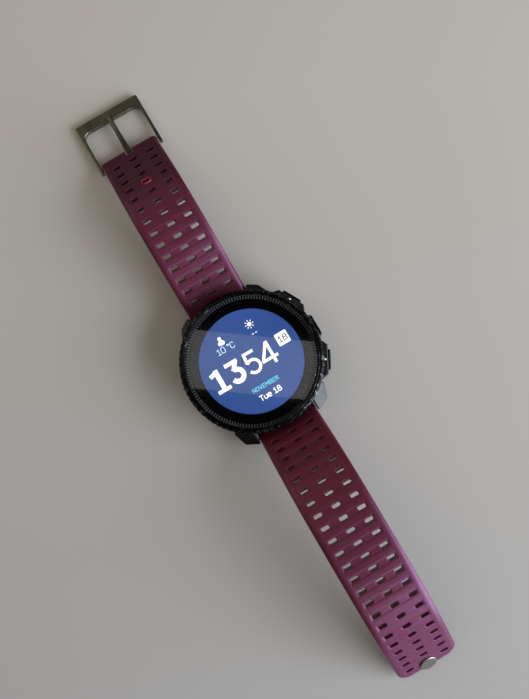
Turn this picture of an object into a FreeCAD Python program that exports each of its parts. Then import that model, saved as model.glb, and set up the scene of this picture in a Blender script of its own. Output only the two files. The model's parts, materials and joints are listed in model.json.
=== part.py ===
"""GPS running watch: a round case with three buttons on a two-piece slotted strap, lying on its back.

Frame: origin at the centre of the rear face, which rests on the ground plane; +X to 3 o'clock, where the
buttons are; +Y to 12 o'clock, where the buckle half of the strap is; +Z out through the display.
All sizes are millimetres and degrees, held in the spreadsheet Sizes.
"""
import FreeCAD, Part
import math
import os
import re
import Sketcher

from FreeCAD import Placement, Rotation, Vector

SIZES = {
    # case, from the rear face up
    "bump_radius": 11.5, "bump_height": 0.8, "bump_bevel": 0.5,
    "back_radius": 20.2, "back_thick": 1.3,
    "window_radius": 7.5, "window_flange": 8.6, "window_thick": 0.9,
    "skirt_radius": 21.9, "case_radius": 24.0, "flare_height": 4.2, "case_top": 9.2,
    "cavity_radius": 19.4, "cavity_top": 8.3, "ledge_top": 9.2, "ledge_bore": 17.0,
    "case_gap": 0.06, "gasket_seat": 0.5,
    # bezel and glass
    "bezel_radius": 24.5, "bezel_bore": 22.5, "bezel_seat": 21.7, "bezel_top": 13.2, "bezel_bevel": 0.7,
    "bezel_shelf": 11.3, "notch_count": 72, "notch_depth": 0.16, "notch_wide": 1.1,
    "bezel_band_low": 9.9, "bezel_band_high": 12.4,
    "crystal_radius": 22.2, "crystal_low": 12.0, "crystal_top": 13.3, "crystal_bevel": 0.3,
    "tick_ring_bore": 20.9, "tick_ring_low": 11.32, "tick_ring_top": 11.55, "tick_outer": 22.4,
    "tick_inner": 21.2, "tick_wide": 0.3, "tick_rise": 0.2, "tick_count": 144,
    "solar_bore": 17.9, "solar_radius": 20.8, "solar_low": 11.2, "solar_top": 11.8,
    "display_radius": 17.78, "display_low": 10.7, "display_top": 11.8,
    "frame_radius": 20.6, "frame_low": 9.3, "frame_floor": 10.1, "frame_top": 10.6,
    "antenna_radius": 21.5, "antenna_bore": 20.9, "antenna_low": 9.4, "antenna_top": 10.7,
    # lugs
    "lug_gap_half": 11.35, "lug_low": 1.7, "lug_top": 8.5,
    "lug_end": 25.6, "lug_corner_across": 16.0, "lug_corner_along": 23.2, "north_lug_trim": 1.0,
    "lug_flank_across": 17.6, "lug_flank_along": 18.2, "lug_root_across": 15.0, "lug_root_along": 16.0,
    "lug_lean_across": 21.0, "lug_lean_along": 20.0, "lug_corner_round": 0.5, "lug_edge_round": 0.3,
    "recess_depth": 21.05, "recess_top": 8.5, "lug_bore_radius": 0.45, "lug_bore_depth": 1.6,
    # buttons
    "button_axis": 6.2, "button_step": 28.5, "stem_radius": 0.75, "stem_clearance": 0.05,
    "stem_inner": 18.3, "spring_pocket_radius": 1.65, "spring_pocket_floor": 21.9,
    "cap_high": 4.6, "cap_outer_half": 3.5, "cap_base_half": 3.9, "cap_inner": 24.75, "cap_outer": 26.8,
    "middle_cap_half": 4.2, "middle_cap_outer": 25.6, "cap_edge": 0.35,
    "cap_round": 0.5, "cap_slot_room": 0.25,
    "guard_half_base": 6.4, "guard_half_tip": 5.0, "guard_outer": 25.9, "guard_slot_half": 4.15,
    "guard_high": 6.0, "guard_root": 22.5, "guard_floor": 24.05, "guard_round": 0.45,
    "mark_radius": 0.35, "mark_across": 24.98,
    "seal_radius": 0.8, "seal_inner": 0.62, "seal_wide": 0.5, "seal_place": 20.6,
    "clip_radius": 1.08, "clip_thick": 0.3, "clip_groove_radius": 0.55, "clip_place": 18.95,
    "button_spring_radius": 1.22, "button_spring_wire": 0.17, "button_spring_pitch": 0.55,
    # inside
    "battery_across": 20.0, "battery_along": 23.0, "battery_shift": -4.4, "battery_low": 3.7,
    "battery_thick": 3.4, "battery_corner": 2.0,
    "motor_radius": 4.0, "motor_across": 11.4, "motor_low": 3.4, "motor_thick": 2.8,
    "board_radius": 18.9, "board_low": 7.4, "board_thick": 0.7,
    "shield_across": 12.0, "shield_along": 14.0, "shield_shift": -3.5, "shield_rise": 1.05,
    "sensor_board_radius": 8.2, "sensor_board_low": 2.5, "sensor_board_thick": 0.6,
    "led_size": 1.5, "led_rise": 0.7, "led_circle": 3.6,
    "contact_radius": 0.9, "contact_circle": 10.0, "contact_thick": 1.6, "contact_spread": 14.0,
    "screw_circle": 18.25, "screw_shank": 0.65, "screw_head": 1.15, "screw_head_thick": 0.55,
    "screw_length": 3.2, "screw_angle": 58.0, "boss_radius": 1.75, "boss_top": 5.6,
    "back_gasket_wide": 0.6,
    "flex_wide": 6.0, "flex_thick": 0.15, "flex_place": 16.2,
    "switch_place": 17.6, "switch_thick": 0.6, "switch_wide": 3.4, "switch_high": 3.0,
    # strap halves: the pivot and the centreline, as straight runs and tangent arcs
    "pivot_along": 23.8, "pivot_height": 4.4, "strap_wide": 22.0, "strap_thick": 2.8,
    "root_radius": 2.35, "root_run": 16.0, "bar_bore": 1.0,
    "slot_pitch": 4.463, "slot_column": 6.67, "slot_wide": 2.85, "slot_run": 1.32, "slot_corner": 0.5,
    "short_first_row": 5.2, "short_rows": 14, "boss_row": 10, "boss_ring_radius": 1.9,
    "boss_ring_rise": 0.3, "pin_after_row": 5.12, "nose_radius": 1.85, "nose_run": 6.0,
    "short_slope": 23.5, "short_straight": 18.0, "short_crest_run": 16.0, "short_crest_slope": 4.3,
    "short_fall_run": 16.0, "short_fall_slope": -29.1, "short_end_run": 25.0, "short_end_slope": -38.7,
    "long_first_row": 6.7, "long_rows": 23, "stud_after_row": 1.47, "tip_after_stud": 2.91,
    "long_slope": 47.9, "long_root_run": 18.0, "long_root_slope": 42.2, "long_rise_run": 24.0,
    "long_rise_slope": 3.3, "long_crest_run": 28.0, "long_crest_slope": -12.3, "long_fall_run": 22.0,
    "long_fall_slope": -45.7, "long_end_run": 30.0, "tip_corner": 4.4,
    "tongue_notch_half": 1.4, "tongue_notch_back": 2.0, "pin_bore": 0.72,
    # spring bars
    "bar_radius": 0.9, "bar_half": 10.4, "bar_hollow": 0.62, "bar_floor": 3.0, "tip_radius": 0.4,
    "tip_reach": 12.55, "shoulder_radius": 0.57, "shoulder_inner": 5.6, "lever_place": 7.6,
    "lever_radius": 0.45, "lever_long": 2.5, "release_travel": 1.3, "bar_spring_radius": 0.42,
    "bar_spring_wire": 0.1, "bar_spring_pitch": 0.45, "lever_notch_half": 2.2,
    # buckle
    "pin_radius": 0.65, "buckle_half": 12.5, "buckle_bore_half": 11.35,
    "buckle_back": 1.75, "buckle_far": 18.4, "bar_near": 14.55, "arm_thick": 2.1, "buckle_tilt": 3.4,
    "buckle_corner": 0.6, "buckle_round": 0.35, "opening_corner": 2.6,
    "rest_notch_half": 1.15, "rest_notch_depth": 0.45,
    "tongue_half": 1.15, "tongue_waist_half": 0.85, "tongue_tip_half": 0.95, "tongue_round": 0.25,
    "tongue_ring": 1.15, "tongue_waist_place": 9.5,
    "tongue_bore": 0.72, "tongue_thick": 1.15,
    "tongue_crest": 1.75, "tongue_crest_place": 6.0, "tongue_tip": 15.6,
    # stud
    "stud_radius": 3.05, "stud_rise": 0.55, "peg_radius": 1.0, "peg_neck": 0.85, "peg_flange": 1.9,
    "peg_flange_thick": 0.4, "peg_drop": 1.75,
}
WORD = re.compile(r"[a-z]+(?:_[a-z]+)+")
TURN = 360.0
ALMOST_ONE = 0.999
ON_EDGE = 0.01
UP = Vector(0, 0, 1)
RIGHT = Vector(1, 0, 0)
CENTRE = Vector(0, 0, 0)
BUTTONS = {"upper": 1, "middle": 0, "lower": -1}

doc = FreeCAD.newDocument("running_watch")
sheet = doc.addObject("Spreadsheet::Sheet", "Sizes")
for line, (alias, amount) in enumerate(SIZES.items(), start=1):
    sheet.set(f"A{line}", alias)
    sheet.set(f"B{line}", str(amount))
    sheet.setAlias(f"B{line}", alias)
doc.recompute()
nodes = []


# ---- sizes and expressions ----

def size(text):
    """The value of an expression of aliases, read from the spreadsheet."""
    found = sheet.evalExpression(str(text))
    return float(getattr(found, "Value", found))


def linked(text):
    """The same expression as another object of the document has to write it."""
    return WORD.sub(lambda word: "Sizes." + word.group(0), str(text))


def bind(thing, name, text):
    thing.setExpression(name, linked(text))


def node(label, thing):
    """Gives a finished sub-part its name."""
    thing.Label = label
    nodes.append(thing)
    return thing


# ---- PartDesign bodies ----

def origin_item(body, role):
    """One of a body's own origin planes or axes."""
    return next(item for item in body.Origin.OriginFeatures if item.Role == role)


def new_sketch(body, name, role, lift="0"):
    sketch = body.newObject("Sketcher::SketchObject", name)
    sketch.AttachmentSupport = [(origin_item(body, role), "")]
    sketch.MapMode = "FlatFace"
    bind(sketch, ".AttachmentOffset.Base.z", lift)
    return sketch


def pin_point(sketch, edge, which, across, along):
    """Holds a sketch point at its two distances from the sketch's origin."""
    for kind, text in (("DistanceX", across), ("DistanceY", along)):
        amount = size(text)
        if amount < 0:
            index = sketch.addConstraint(Sketcher.Constraint(kind, edge, which, -1, 1, -amount))
            bind(sketch, f"Constraints[{index}]", f"-({text})")
        elif amount > 0:
            index = sketch.addConstraint(Sketcher.Constraint(kind, -1, 1, edge, which, amount))
            bind(sketch, f"Constraints[{index}]", text)
        else:
            axis = -2 if kind == "DistanceX" else -1
            sketch.addConstraint(Sketcher.Constraint("PointOnObject", edge, which, axis))


def draw_outline(sketch, points):
    """A closed outline of straight edges whose corners are pairs of expressions."""
    corners = [Vector(size(across), size(along), 0) for across, along in points]
    first = sketch.GeometryCount
    for start, end in zip(corners, corners[1:] + corners[:1]):
        sketch.addGeometry(Part.LineSegment(start, end), False)
    count = len(corners)
    for step, (across, along) in enumerate(points):
        ending, starting = first + (step - 1) % count, first + step
        sketch.addConstraint(Sketcher.Constraint("Coincident", ending, 2, starting, 1))
        pin_point(sketch, starting, 1, across, along)


def draw_circle(sketch, across, along, radius):
    centre = Vector(size(across), size(along), 0)
    edge = sketch.addGeometry(Part.Circle(centre, UP, size(radius)), False)
    pin_point(sketch, edge, 3, across, along)
    index = sketch.addConstraint(Sketcher.Constraint("Radius", edge, size(radius)))
    bind(sketch, f"Constraints[{index}]", radius)


def revolve(body, name, role, profile, axis="V_Axis", cut=False):
    """Turns a closed profile a full turn round one of its sketch's axes."""
    sketch = new_sketch(body, name + "_profile", role)
    draw_outline(sketch, profile)
    kind = "PartDesign::Groove" if cut else "PartDesign::Revolution"
    turned = body.newObject(kind, name)
    turned.Profile = sketch
    turned.ReferenceAxis = (sketch, [axis])
    turned.Angle = TURN
    return turned


def lathe(label, profile):
    """A body turned round the vertical axis from (radius, height) corners."""
    body = doc.addObject("PartDesign::Body", label + "_body")
    revolve(body, label + "_turned", "XZ_Plane", profile)
    return node(label, body)


def pad(body, name, outlines, low, high, role="XY_Plane", circles=()):
    """Extrudes outlines between two heights over their plane."""
    sketch = new_sketch(body, name + "_outline", role, low)
    for outline in outlines:
        draw_outline(sketch, outline)
    for circle in circles:
        draw_circle(sketch, *circle)
    raised = body.newObject("PartDesign::Pad", name)
    raised.Profile = sketch
    bind(raised, "Length", f"({high}) - ({low})")
    return raised


def pocket(body, name, outlines, low, high, role="XY_Plane", circles=()):
    """Cuts outlines between two heights over their plane, and checks that material went."""
    doc.recompute()
    before = body.Shape.Volume
    sketch = new_sketch(body, name + "_outline", role, low)
    for outline in outlines:
        draw_outline(sketch, outline)
    for circle in circles:
        draw_circle(sketch, *circle)
    sunk = body.newObject("PartDesign::Pocket", name)
    sunk.Profile = sketch
    sunk.Reversed = True
    bind(sunk, "Length", f"({high}) - ({low})")
    doc.recompute()
    if not body.Shape.Volume < before:
        raise RuntimeError(f"{name} cuts nothing")
    return sunk


def around(body, name, feature, count):
    """Repeats a feature round the vertical axis."""
    pattern = body.newObject("PartDesign::PolarPattern", name)
    pattern.Originals = [feature]
    pattern.Axis = (origin_item(body, "Z_Axis"), [""])
    pattern.Angle = TURN
    bind(pattern, "Occurrences", count)
    body.Tip = pattern
    return pattern


def round_edges(body, name, radius, wanted):
    """Rounds every edge of the body that passes a test."""
    doc.recompute()
    base = body.Tip
    names = [f"Edge{count}" for count, edge in enumerate(base.Shape.Edges, start=1) if wanted(edge)]
    rounded = body.newObject("PartDesign::Fillet", name)
    rounded.Base = (base, names)
    bind(rounded, "Radius", radius)
    return rounded


def runs_along(edge, direction):
    """True for a straight edge that runs along a direction."""
    return isinstance(edge.Curve, Part.Line) and abs(edge.Curve.Direction.dot(direction)) > ALMOST_ONE


def rectangle(left, right, low, high):
    return [(left, low), (right, low), (right, high), (left, high)]


# ---- Part primitives ----

def cylinder(name, radius, height, place):
    """A Part cylinder whose base and direction are given by a Placement."""
    thing = doc.addObject("Part::Cylinder", name)
    bind(thing, "Radius", radius)
    bind(thing, "Height", height)
    thing.Placement = place
    return thing


def box(name, across, along, high, corner):
    """A Part box with its lowest corner at three expressions."""
    thing = doc.addObject("Part::Box", name)
    for side, text in zip(("Length", "Width", "Height"), (across, along, high)):
        bind(thing, side, text)
    for side, text in zip("xyz", corner):
        bind(thing, f".Placement.Base.{side}", text)
    return thing


def group(label, things):
    """Identical or related solids that share one node."""
    compound = doc.addObject("Part::Compound", label + "_group")
    compound.Links = things
    return node(label, compound)


def cut(name, base, tool):
    thing = doc.addObject("Part::Cut", name)
    thing.Base = base
    thing.Tool = tool
    return thing


def fuse(name, things):
    thing = doc.addObject("Part::MultiFuse", name)
    thing.Shapes = things
    return thing


def upright(across, along, low):
    return Placement(Vector(size(across), size(along), size(low)), Rotation())


def turned_to(angle):
    """The place of a piece drawn at 3 o'clock and turned round the vertical axis."""
    return Placement(CENTRE, Rotation(UP, angle))


def sideways(start, along, height):
    """The place of a cylinder that runs along +X from start."""
    return Placement(Vector(start, along, height), Rotation(Vector(0, 1, 0), 90))


# ---- case ----

def lug_shape(side, end):
    """One strap lug: a block with a slanted end, a top that leans outwards, and rounded edges.

    The north pair is a little shorter than the south pair.
    """
    trim = size("north_lug_trim") if end > 0 else 0.0
    corners = [
        (size("lug_gap_half"), size("lug_root_along")), (size("lug_gap_half"), size("lug_end") - trim),
        (size("lug_corner_across") - 0.7 * trim, size("lug_corner_along") - trim),
        (size("lug_flank_across") - 0.3 * trim, size("lug_flank_along") - trim / 2),
        (size("lug_root_across"), size("lug_root_along")),
    ]
    points = [Vector(side * across, end * along, size("lug_low")) for across, along in corners]
    block = Part.Face(Part.makePolygon(points + points[:1])).extrude(UP * size("lug_top - lug_low"))
    root, reach = size("case_radius - 2") - trim, size("case_radius")
    facet = Part.makeBox(2 * reach, 2 * reach, reach, Vector(-reach, -reach, 0))
    lean = Vector(side * math.tan(math.radians(size("lug_lean_across"))),
                  end * math.tan(math.radians(size("lug_lean_along"))), 1)
    facet.Placement = Placement(Vector(side * size("lug_gap_half"), end * root, size("lug_top")), Rotation(UP, lean))
    block = block.cut(facet)
    outer = [edge for edge in block.Edges if runs_along(edge, UP) and abs(edge.CenterOfMass.y) > root - 2]
    block = block.makeFillet(size("lug_corner_round"), outer)
    low, high = size("lug_low + 0.1"), size("lug_low + 1")
    rims = [edge for edge in block.Edges
            if not runs_along(edge, UP) and abs(edge.CenterOfMass.y) > size("lug_root_along + 0.5")
            and not low < edge.CenterOfMass.z < high]
    return block.makeFillet(size("lug_edge_round"), rims)


def make_mid_case():
    """The polymer ring that carries everything: lugs, button guards, bores and screw bosses."""
    body = doc.addObject("PartDesign::Body", "mid_case_body")
    revolve(body, "wall", "XZ_Plane", [
        ("back_radius + case_gap", "bump_height"), ("skirt_radius", "bump_height"),
        ("case_radius", "flare_height"), ("case_radius", "case_top"),
        ("ledge_bore", "ledge_top"), ("ledge_bore", "cavity_top"),
        ("cavity_radius", "cavity_top"), ("cavity_radius", "bump_height + back_thick + gasket_seat"),
        ("back_radius + case_gap", "bump_height + back_thick + gasket_seat"),
    ])
    for end, name in ((1, "recess_north"), (-1, "recess_south")):
        edges = rectangle("-lug_gap_half", "lug_gap_half", f"{end} * recess_depth", f"{end} * 30")
        pocket(body, name, [edges], "-1", "recess_top")
    boss_x = "screw_circle * cos(screw_angle)"
    boss_y = "screw_circle * sin(screw_angle)"
    spots = [(f"{side} * {boss_x}", f"{end} * {boss_y}") for side in (1, -1) for end in (1, -1)]
    pad(body, "bosses", [], "bump_height + back_thick + gasket_seat", "boss_top",
        circles=[(across, along, "boss_radius") for across, along in spots])
    pocket(body, "screw_holes", [], "0", "bump_height + screw_head_thick + screw_length + 0.3",
           circles=[(across, along, "screw_shank + 0.05") for across, along in spots])
    return body


def guard_shape(angle):
    """The raised shoulders beside an outer button, with the slot that its cap moves in."""
    low, high = size("button_axis - guard_high / 2"), size("button_axis + guard_high / 2")
    root, tip = size("guard_root"), size("guard_outer")
    base_half, tip_half = size("guard_half_base"), size("guard_half_tip")
    shoulder = root + 1.6
    corners = [Vector(root, -base_half, low), Vector(shoulder, -base_half, low), Vector(tip, -tip_half, low),
               Vector(tip, tip_half, low), Vector(shoulder, base_half, low), Vector(root, base_half, low)]
    outline = Part.makePolygon(corners + corners[:1])
    solid = Part.Face(outline).extrude(UP * (high - low))
    outside = [edge for edge in solid.Edges if edge.BoundBox.XMin > root + 0.1 or
               (edge.BoundBox.XMax > root + 0.5 and not runs_along(edge, RIGHT))]
    solid = solid.makeFillet(size("guard_round"), outside)
    solid.rotate(CENTRE, UP, angle)
    return solid


def cap_slot_shape(angle, half):
    """The pocket that a button cap sits and moves in."""
    floor, high = size("guard_floor"), size("cap_high + 2 * cap_slot_room")
    slot = Part.makeBox(5, 2 * half, high, Vector(floor, -half, size("button_axis") - high / 2))
    slot.rotate(CENTRE, UP, angle)
    return slot


def stem_bore_shape(angle):
    """The stepped bore of a button: a close bore for the stem and a wide one for its spring."""
    inner = Vector(size("cavity_radius - 2"), 0, size("button_axis"))
    floor = Vector(size("spring_pocket_floor"), 0, size("button_axis"))
    close_long = size("case_radius") - inner.x
    close = Part.makeCylinder(size("stem_radius + stem_clearance"), close_long, inner, RIGHT)
    wide = Part.makeCylinder(size("spring_pocket_radius"), size("cap_outer") - floor.x, floor, RIGHT)
    bore = close.fuse(wide)
    bore.rotate(CENTRE, UP, angle)
    return bore


def finish_mid_case(body):
    """Adds the guards and all the bores to the turned case body."""
    case = doc.addObject("Part::Feature", "mid_case_machined")
    step = size("button_step")
    added = [guard_shape(place * step) for place in (1, -1)]
    added += [lug_shape(side, end) for side in (1, -1) for end in (1, -1)]
    hollow = Part.makeCylinder(size("cavity_radius"), size("cavity_top"))
    hollow = hollow.fuse(Part.makeCylinder(size("back_radius + case_gap"),
                                           size("bump_height + back_thick + gasket_seat")))
    shape = body.Shape.fuse([piece.cut(hollow) for piece in added])
    tools = []
    for place in BUTTONS.values():
        half = size("middle_cap_half + 0.2") if place == 0 else size("guard_slot_half")
        tools.append(cap_slot_shape(place * step, half))
        tools.append(stem_bore_shape(place * step))
    reach = size("lug_gap_half + lug_bore_depth")
    for end in (1, -1):
        tools.append(Part.makeCylinder(size("lug_bore_radius"), 2 * reach,
                                       Vector(-reach, end * size("pivot_along"), size("pivot_height")),
                                       RIGHT))
    for place in (1, -1):
        mark = Part.makeCylinder(size("mark_radius + 0.02"), 0.6,
                                 Vector(size("mark_across"), 0, size("button_axis + guard_high / 2 - 0.5")))
        mark.rotate(CENTRE, UP, place * step)
        tools.append(mark)
    shape = shape.cut(Part.makeCompound(tools)).removeSplitter()
    case.Shape = shape
    return node("mid_case", case)


def make_guard_marks():
    """Two small light inlays on the guards of the outer buttons."""
    marks = []
    for place in (1, -1):
        angle = math.radians(place * size("button_step"))
        reach = size("mark_across")
        spot = Placement(Vector(reach * math.cos(angle), reach * math.sin(angle),
                                size("button_axis + guard_high / 2 - 0.5")), Rotation())
        marks.append(cylinder(f"guard_mark_{len(marks)}", "mark_radius", "0.6", spot))
    return group("guard_marks", marks)


def make_bezel():
    """The metal bezel: a turned ring with fine notches round its outer edge."""
    body = doc.addObject("PartDesign::Body", "bezel_body")
    revolve(body, "bezel_turned", "XZ_Plane", [
        ("bezel_seat", "case_top"), ("bezel_radius - bezel_bevel", "case_top"),
        ("bezel_radius - 0.2", "bezel_band_low"), ("bezel_radius", "bezel_band_low + 0.2"),
        ("bezel_radius", "bezel_band_high"), ("bezel_radius - bezel_bevel", "bezel_top"),
        ("bezel_bore", "bezel_top - 0.05"), ("bezel_bore", "bezel_shelf"), ("bezel_seat", "bezel_shelf"),
    ])
    notch = pocket(body, "notch", [rectangle("bezel_radius - notch_depth", "bezel_radius + 1",
                                             "-notch_wide / 2", "notch_wide / 2")],
                   "bezel_band_low - 1", "bezel_top + 1")
    around(body, "notches", notch, "notch_count")
    return node("bezel_ring", body)


def make_glass_and_display():
    """The crystal, its gasket and the stack of rings and panels under it."""
    lathe("crystal", [("0", "crystal_low"), ("crystal_radius", "crystal_low"),
                      ("crystal_radius", "crystal_top - crystal_bevel"),
                      ("crystal_radius - crystal_bevel", "crystal_top"), ("0", "crystal_top")])
    lathe("crystal_gasket", rectangle("crystal_radius + 0.03", "bezel_bore - 0.03",
                                      "crystal_low", "bezel_top - 0.3"))
    body = doc.addObject("PartDesign::Body", "tick_ring_body")
    revolve(body, "flange", "XZ_Plane",
            rectangle("tick_ring_bore", "tick_outer", "tick_ring_low", "tick_ring_top"))
    edges = rectangle("tick_inner", "tick_outer - 0.05", "-tick_wide / 2", "tick_wide / 2")
    tick = pad(body, "tick", [edges],
               "tick_ring_top - 0.02", "tick_ring_top + tick_rise")
    around(body, "ticks", tick, "tick_count")
    node("tick_ring", body)
    lathe("solar_ring", rectangle("solar_bore", "solar_radius", "solar_low", "solar_top"))
    lathe("display_panel", rectangle("0", "display_radius", "display_low", "display_top"))
    lathe("display_frame", [
        ("0", "frame_low"), ("frame_radius", "frame_low"), ("frame_radius", "frame_top + 0.5"),
        ("frame_radius - 0.6", "frame_top + 0.5"), ("frame_radius - 0.6", "frame_floor"),
        ("0", "frame_floor"),
    ])
    lathe("antenna_ring", rectangle("antenna_bore", "antenna_radius", "antenna_low", "antenna_top"))


def make_case_back():
    """The case back with its sensor bump, window, gasket and four screws."""
    body = doc.addObject("PartDesign::Body", "case_back_body")
    revolve(body, "back_turned", "XZ_Plane", [
        ("window_radius + 0.03", "0"), ("bump_radius - bump_bevel", "0"), ("bump_radius", "bump_height"),
        ("back_radius", "bump_height"), ("back_radius", "bump_height + back_thick"),
        ("window_flange + 0.03", "bump_height + back_thick"),
        ("window_flange + 0.03", "window_thick"), ("window_radius + 0.03", "window_thick"),
    ])
    boss_x = "screw_circle * cos(screw_angle)"
    boss_y = "screw_circle * sin(screw_angle)"
    spots = [(f"{side} * {boss_x}", f"{end} * {boss_y}") for side in (1, -1) for end in (1, -1)]
    pocket(body, "shank_holes", [], "0", "bump_height + back_thick + 1",
           circles=[(across, along, "screw_shank + 0.05") for across, along in spots])
    pocket(body, "head_seats", [], "0", "bump_height + screw_head_thick",
           circles=[(across, along, "screw_head + 0.05") for across, along in spots])
    contacts = [contact_spot(turn) for turn in CONTACT_TURNS]
    pocket(body, "contact_holes", [], "-1", "bump_height + back_thick + 1",
           circles=[(across, along, "contact_radius + 0.03") for across, along in contacts])
    node("case_back", body)
    lathe("sensor_window", [
        ("0", "0"), ("window_radius", "0"), ("window_radius", "window_thick + 0.02"),
        ("window_flange", "window_thick + 0.02"), ("window_flange", "window_thick + 0.8"),
        ("0", "window_thick + 0.8"),
    ])
    seat = "bump_height + back_thick"
    lathe("case_back_gasket", rectangle("cavity_radius + 0.1", "cavity_radius + 0.1 + back_gasket_wide",
                                        seat, f"{seat} + gasket_seat"))
    screws = []
    for count, (across, along) in enumerate(spots):
        place = upright(across, along, "bump_height")
        head = cylinder(f"screw_head_{count}", "screw_head", "screw_head_thick - 0.05", place)
        shank = cylinder(f"screw_shank_{count}", "screw_shank", "screw_head_thick + screw_length", place)
        socket = cylinder(f"screw_socket_{count}", "screw_shank * 0.8", "screw_head_thick * 0.6", place)
        screws.append(cut(f"screw_{count}", fuse(f"screw_blank_{count}", [head, shank]), socket))
    group("case_back_screws", screws)


CONTACT_TURNS = (-1.5, -0.5, 0.5, 1.5)


def contact_spot(turn):
    """Where one charging contact stands on the sensor bump, on its 6 o'clock side."""
    angle = f"(270 + {turn} * contact_spread)"
    return f"contact_circle * cos({angle})", f"contact_circle * sin({angle})"


def make_inside():
    """The electronics, battery, motor and sensors inside the case."""
    board = doc.addObject("PartDesign::Body", "main_board_body")
    flats = "board_radius * 0.94"
    pad(board, "board", [], "board_low", "board_low + board_thick", circles=[("0", "0", "board_radius")])
    for side, name in ((1, "board_flat_right"), (-1, "board_flat_left")):
        pocket(board, name, [rectangle(f"{side} * {flats}", f"{side} * 25", "-9", "9")],
               "board_low - 1", "board_low + board_thick + 1")
    node("main_board", board)
    board_top = "board_low + board_thick"
    chips = [("4.6", "-4.0", "4.0", "4.0"), ("4.6", "3.0", "3.0", "3.0"), ("9.4", "-2.2", "3.2", "2.4"),
             ("-3.0", "9.0", "4.2", "2.6"), ("-6.0", "-13.4", "3.0", "2.2"), ("2.2", "-12.6", "2.4", "3.2")]
    group("board_chips", [box(f"chip_{count}", across, along, "0.8", (left, low, board_top))
                          for count, (left, low, across, along) in enumerate(chips)])
    shell = box("shield_outside", "shield_across", "shield_along", "shield_rise",
                ("shield_shift - shield_across / 2", "-shield_along / 2", board_top))
    hollow = box("shield_inside", "shield_across - 0.4", "shield_along - 0.4", "shield_rise - 0.2",
                 ("shield_shift - shield_across / 2 + 0.2", "-shield_along / 2 + 0.2", board_top))
    node("shield_can", cut("shield_shell", shell, hollow))
    cell = box("battery_block", "battery_across", "battery_along", "battery_thick",
               ("battery_shift - battery_across / 2", "-battery_along / 2", "battery_low"))
    rounded = doc.addObject("Part::Fillet", "battery_rounded")
    rounded.Base = cell
    rounded.Edges = [(edge, size("battery_corner"), size("battery_corner")) for edge in (1, 3, 5, 7)]
    node("battery", rounded)
    node("vibration_motor", cylinder("motor_can", "motor_radius", "motor_thick",
                                     upright("motor_across", "0", "motor_low")))
    node("pressure_sensor", box("pressure_can", "2.6", "2.6", "1.4", ("-1.3", "-17.2", "board_low - 1.4")))
    node("sensor_board", cylinder("sensor_disc", "sensor_board_radius", "sensor_board_thick",
                                  upright("0", "0", "sensor_board_low")))
    leds = [box("photodiode", "2.6", "2.6", "led_rise", ("-1.3", "-1.3", "sensor_board_low - led_rise"))]
    for count in range(4):
        angle = f"{45 + 90 * count}"
        corner = (f"led_circle * cos({angle}) - led_size / 2", f"led_circle * sin({angle}) - led_size / 2",
                  "sensor_board_low - led_rise")
        leds.append(box(f"led_{count}", "led_size", "led_size", "led_rise", corner))
    group("sensor_leds", leds)
    contacts = []
    for turn in CONTACT_TURNS:
        across, along = contact_spot(turn)
        contacts.append(cylinder(f"contact_{len(contacts)}", "contact_radius", "contact_thick",
                                 upright(across, along, "0.1")))
    group("charge_contacts", contacts)
    node("display_flex", box("flex_strip", "flex_wide", "flex_thick", "frame_low - board_low - board_thick",
                             ("-flex_wide / 2", "flex_place", "board_low + board_thick")))


def make_button_switches():
    """Three dome switches on their carriers, one in line with each button stem."""
    switches = []
    for place in BUTTONS.values():
        carrier = Part.makeBox(size("switch_thick"), size("switch_wide"), size("switch_high"),
                               Vector(size("switch_place - switch_thick"), -size("switch_wide") / 2,
                                      size("button_axis - 0.5 - switch_high / 2")))
        carrier.rotate(CENTRE, UP, place * size("button_step"))
        switches.append(carrier)
    thing = doc.addObject("Part::Feature", "button_switch_set")
    thing.Shape = Part.makeCompound(switches)
    return node("button_switches", thing)


# ---- buttons ----

def spring_coil(name, radius, wire, pitch, length, place):
    """A compression spring: a round wire swept along a helix."""
    helix = Part.makeLongHelix(size(pitch), size(length), size(radius))
    ring = Part.Wire(Part.Circle(Vector(size(radius), 0, 0), Vector(0, 1, 0), size(wire)).toShape())
    thing = doc.addObject("Part::Feature", name)
    thing.Shape = Part.Wire(helix.Edges).makePipeShell([ring], True, True)
    thing.Placement = place
    return thing


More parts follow.
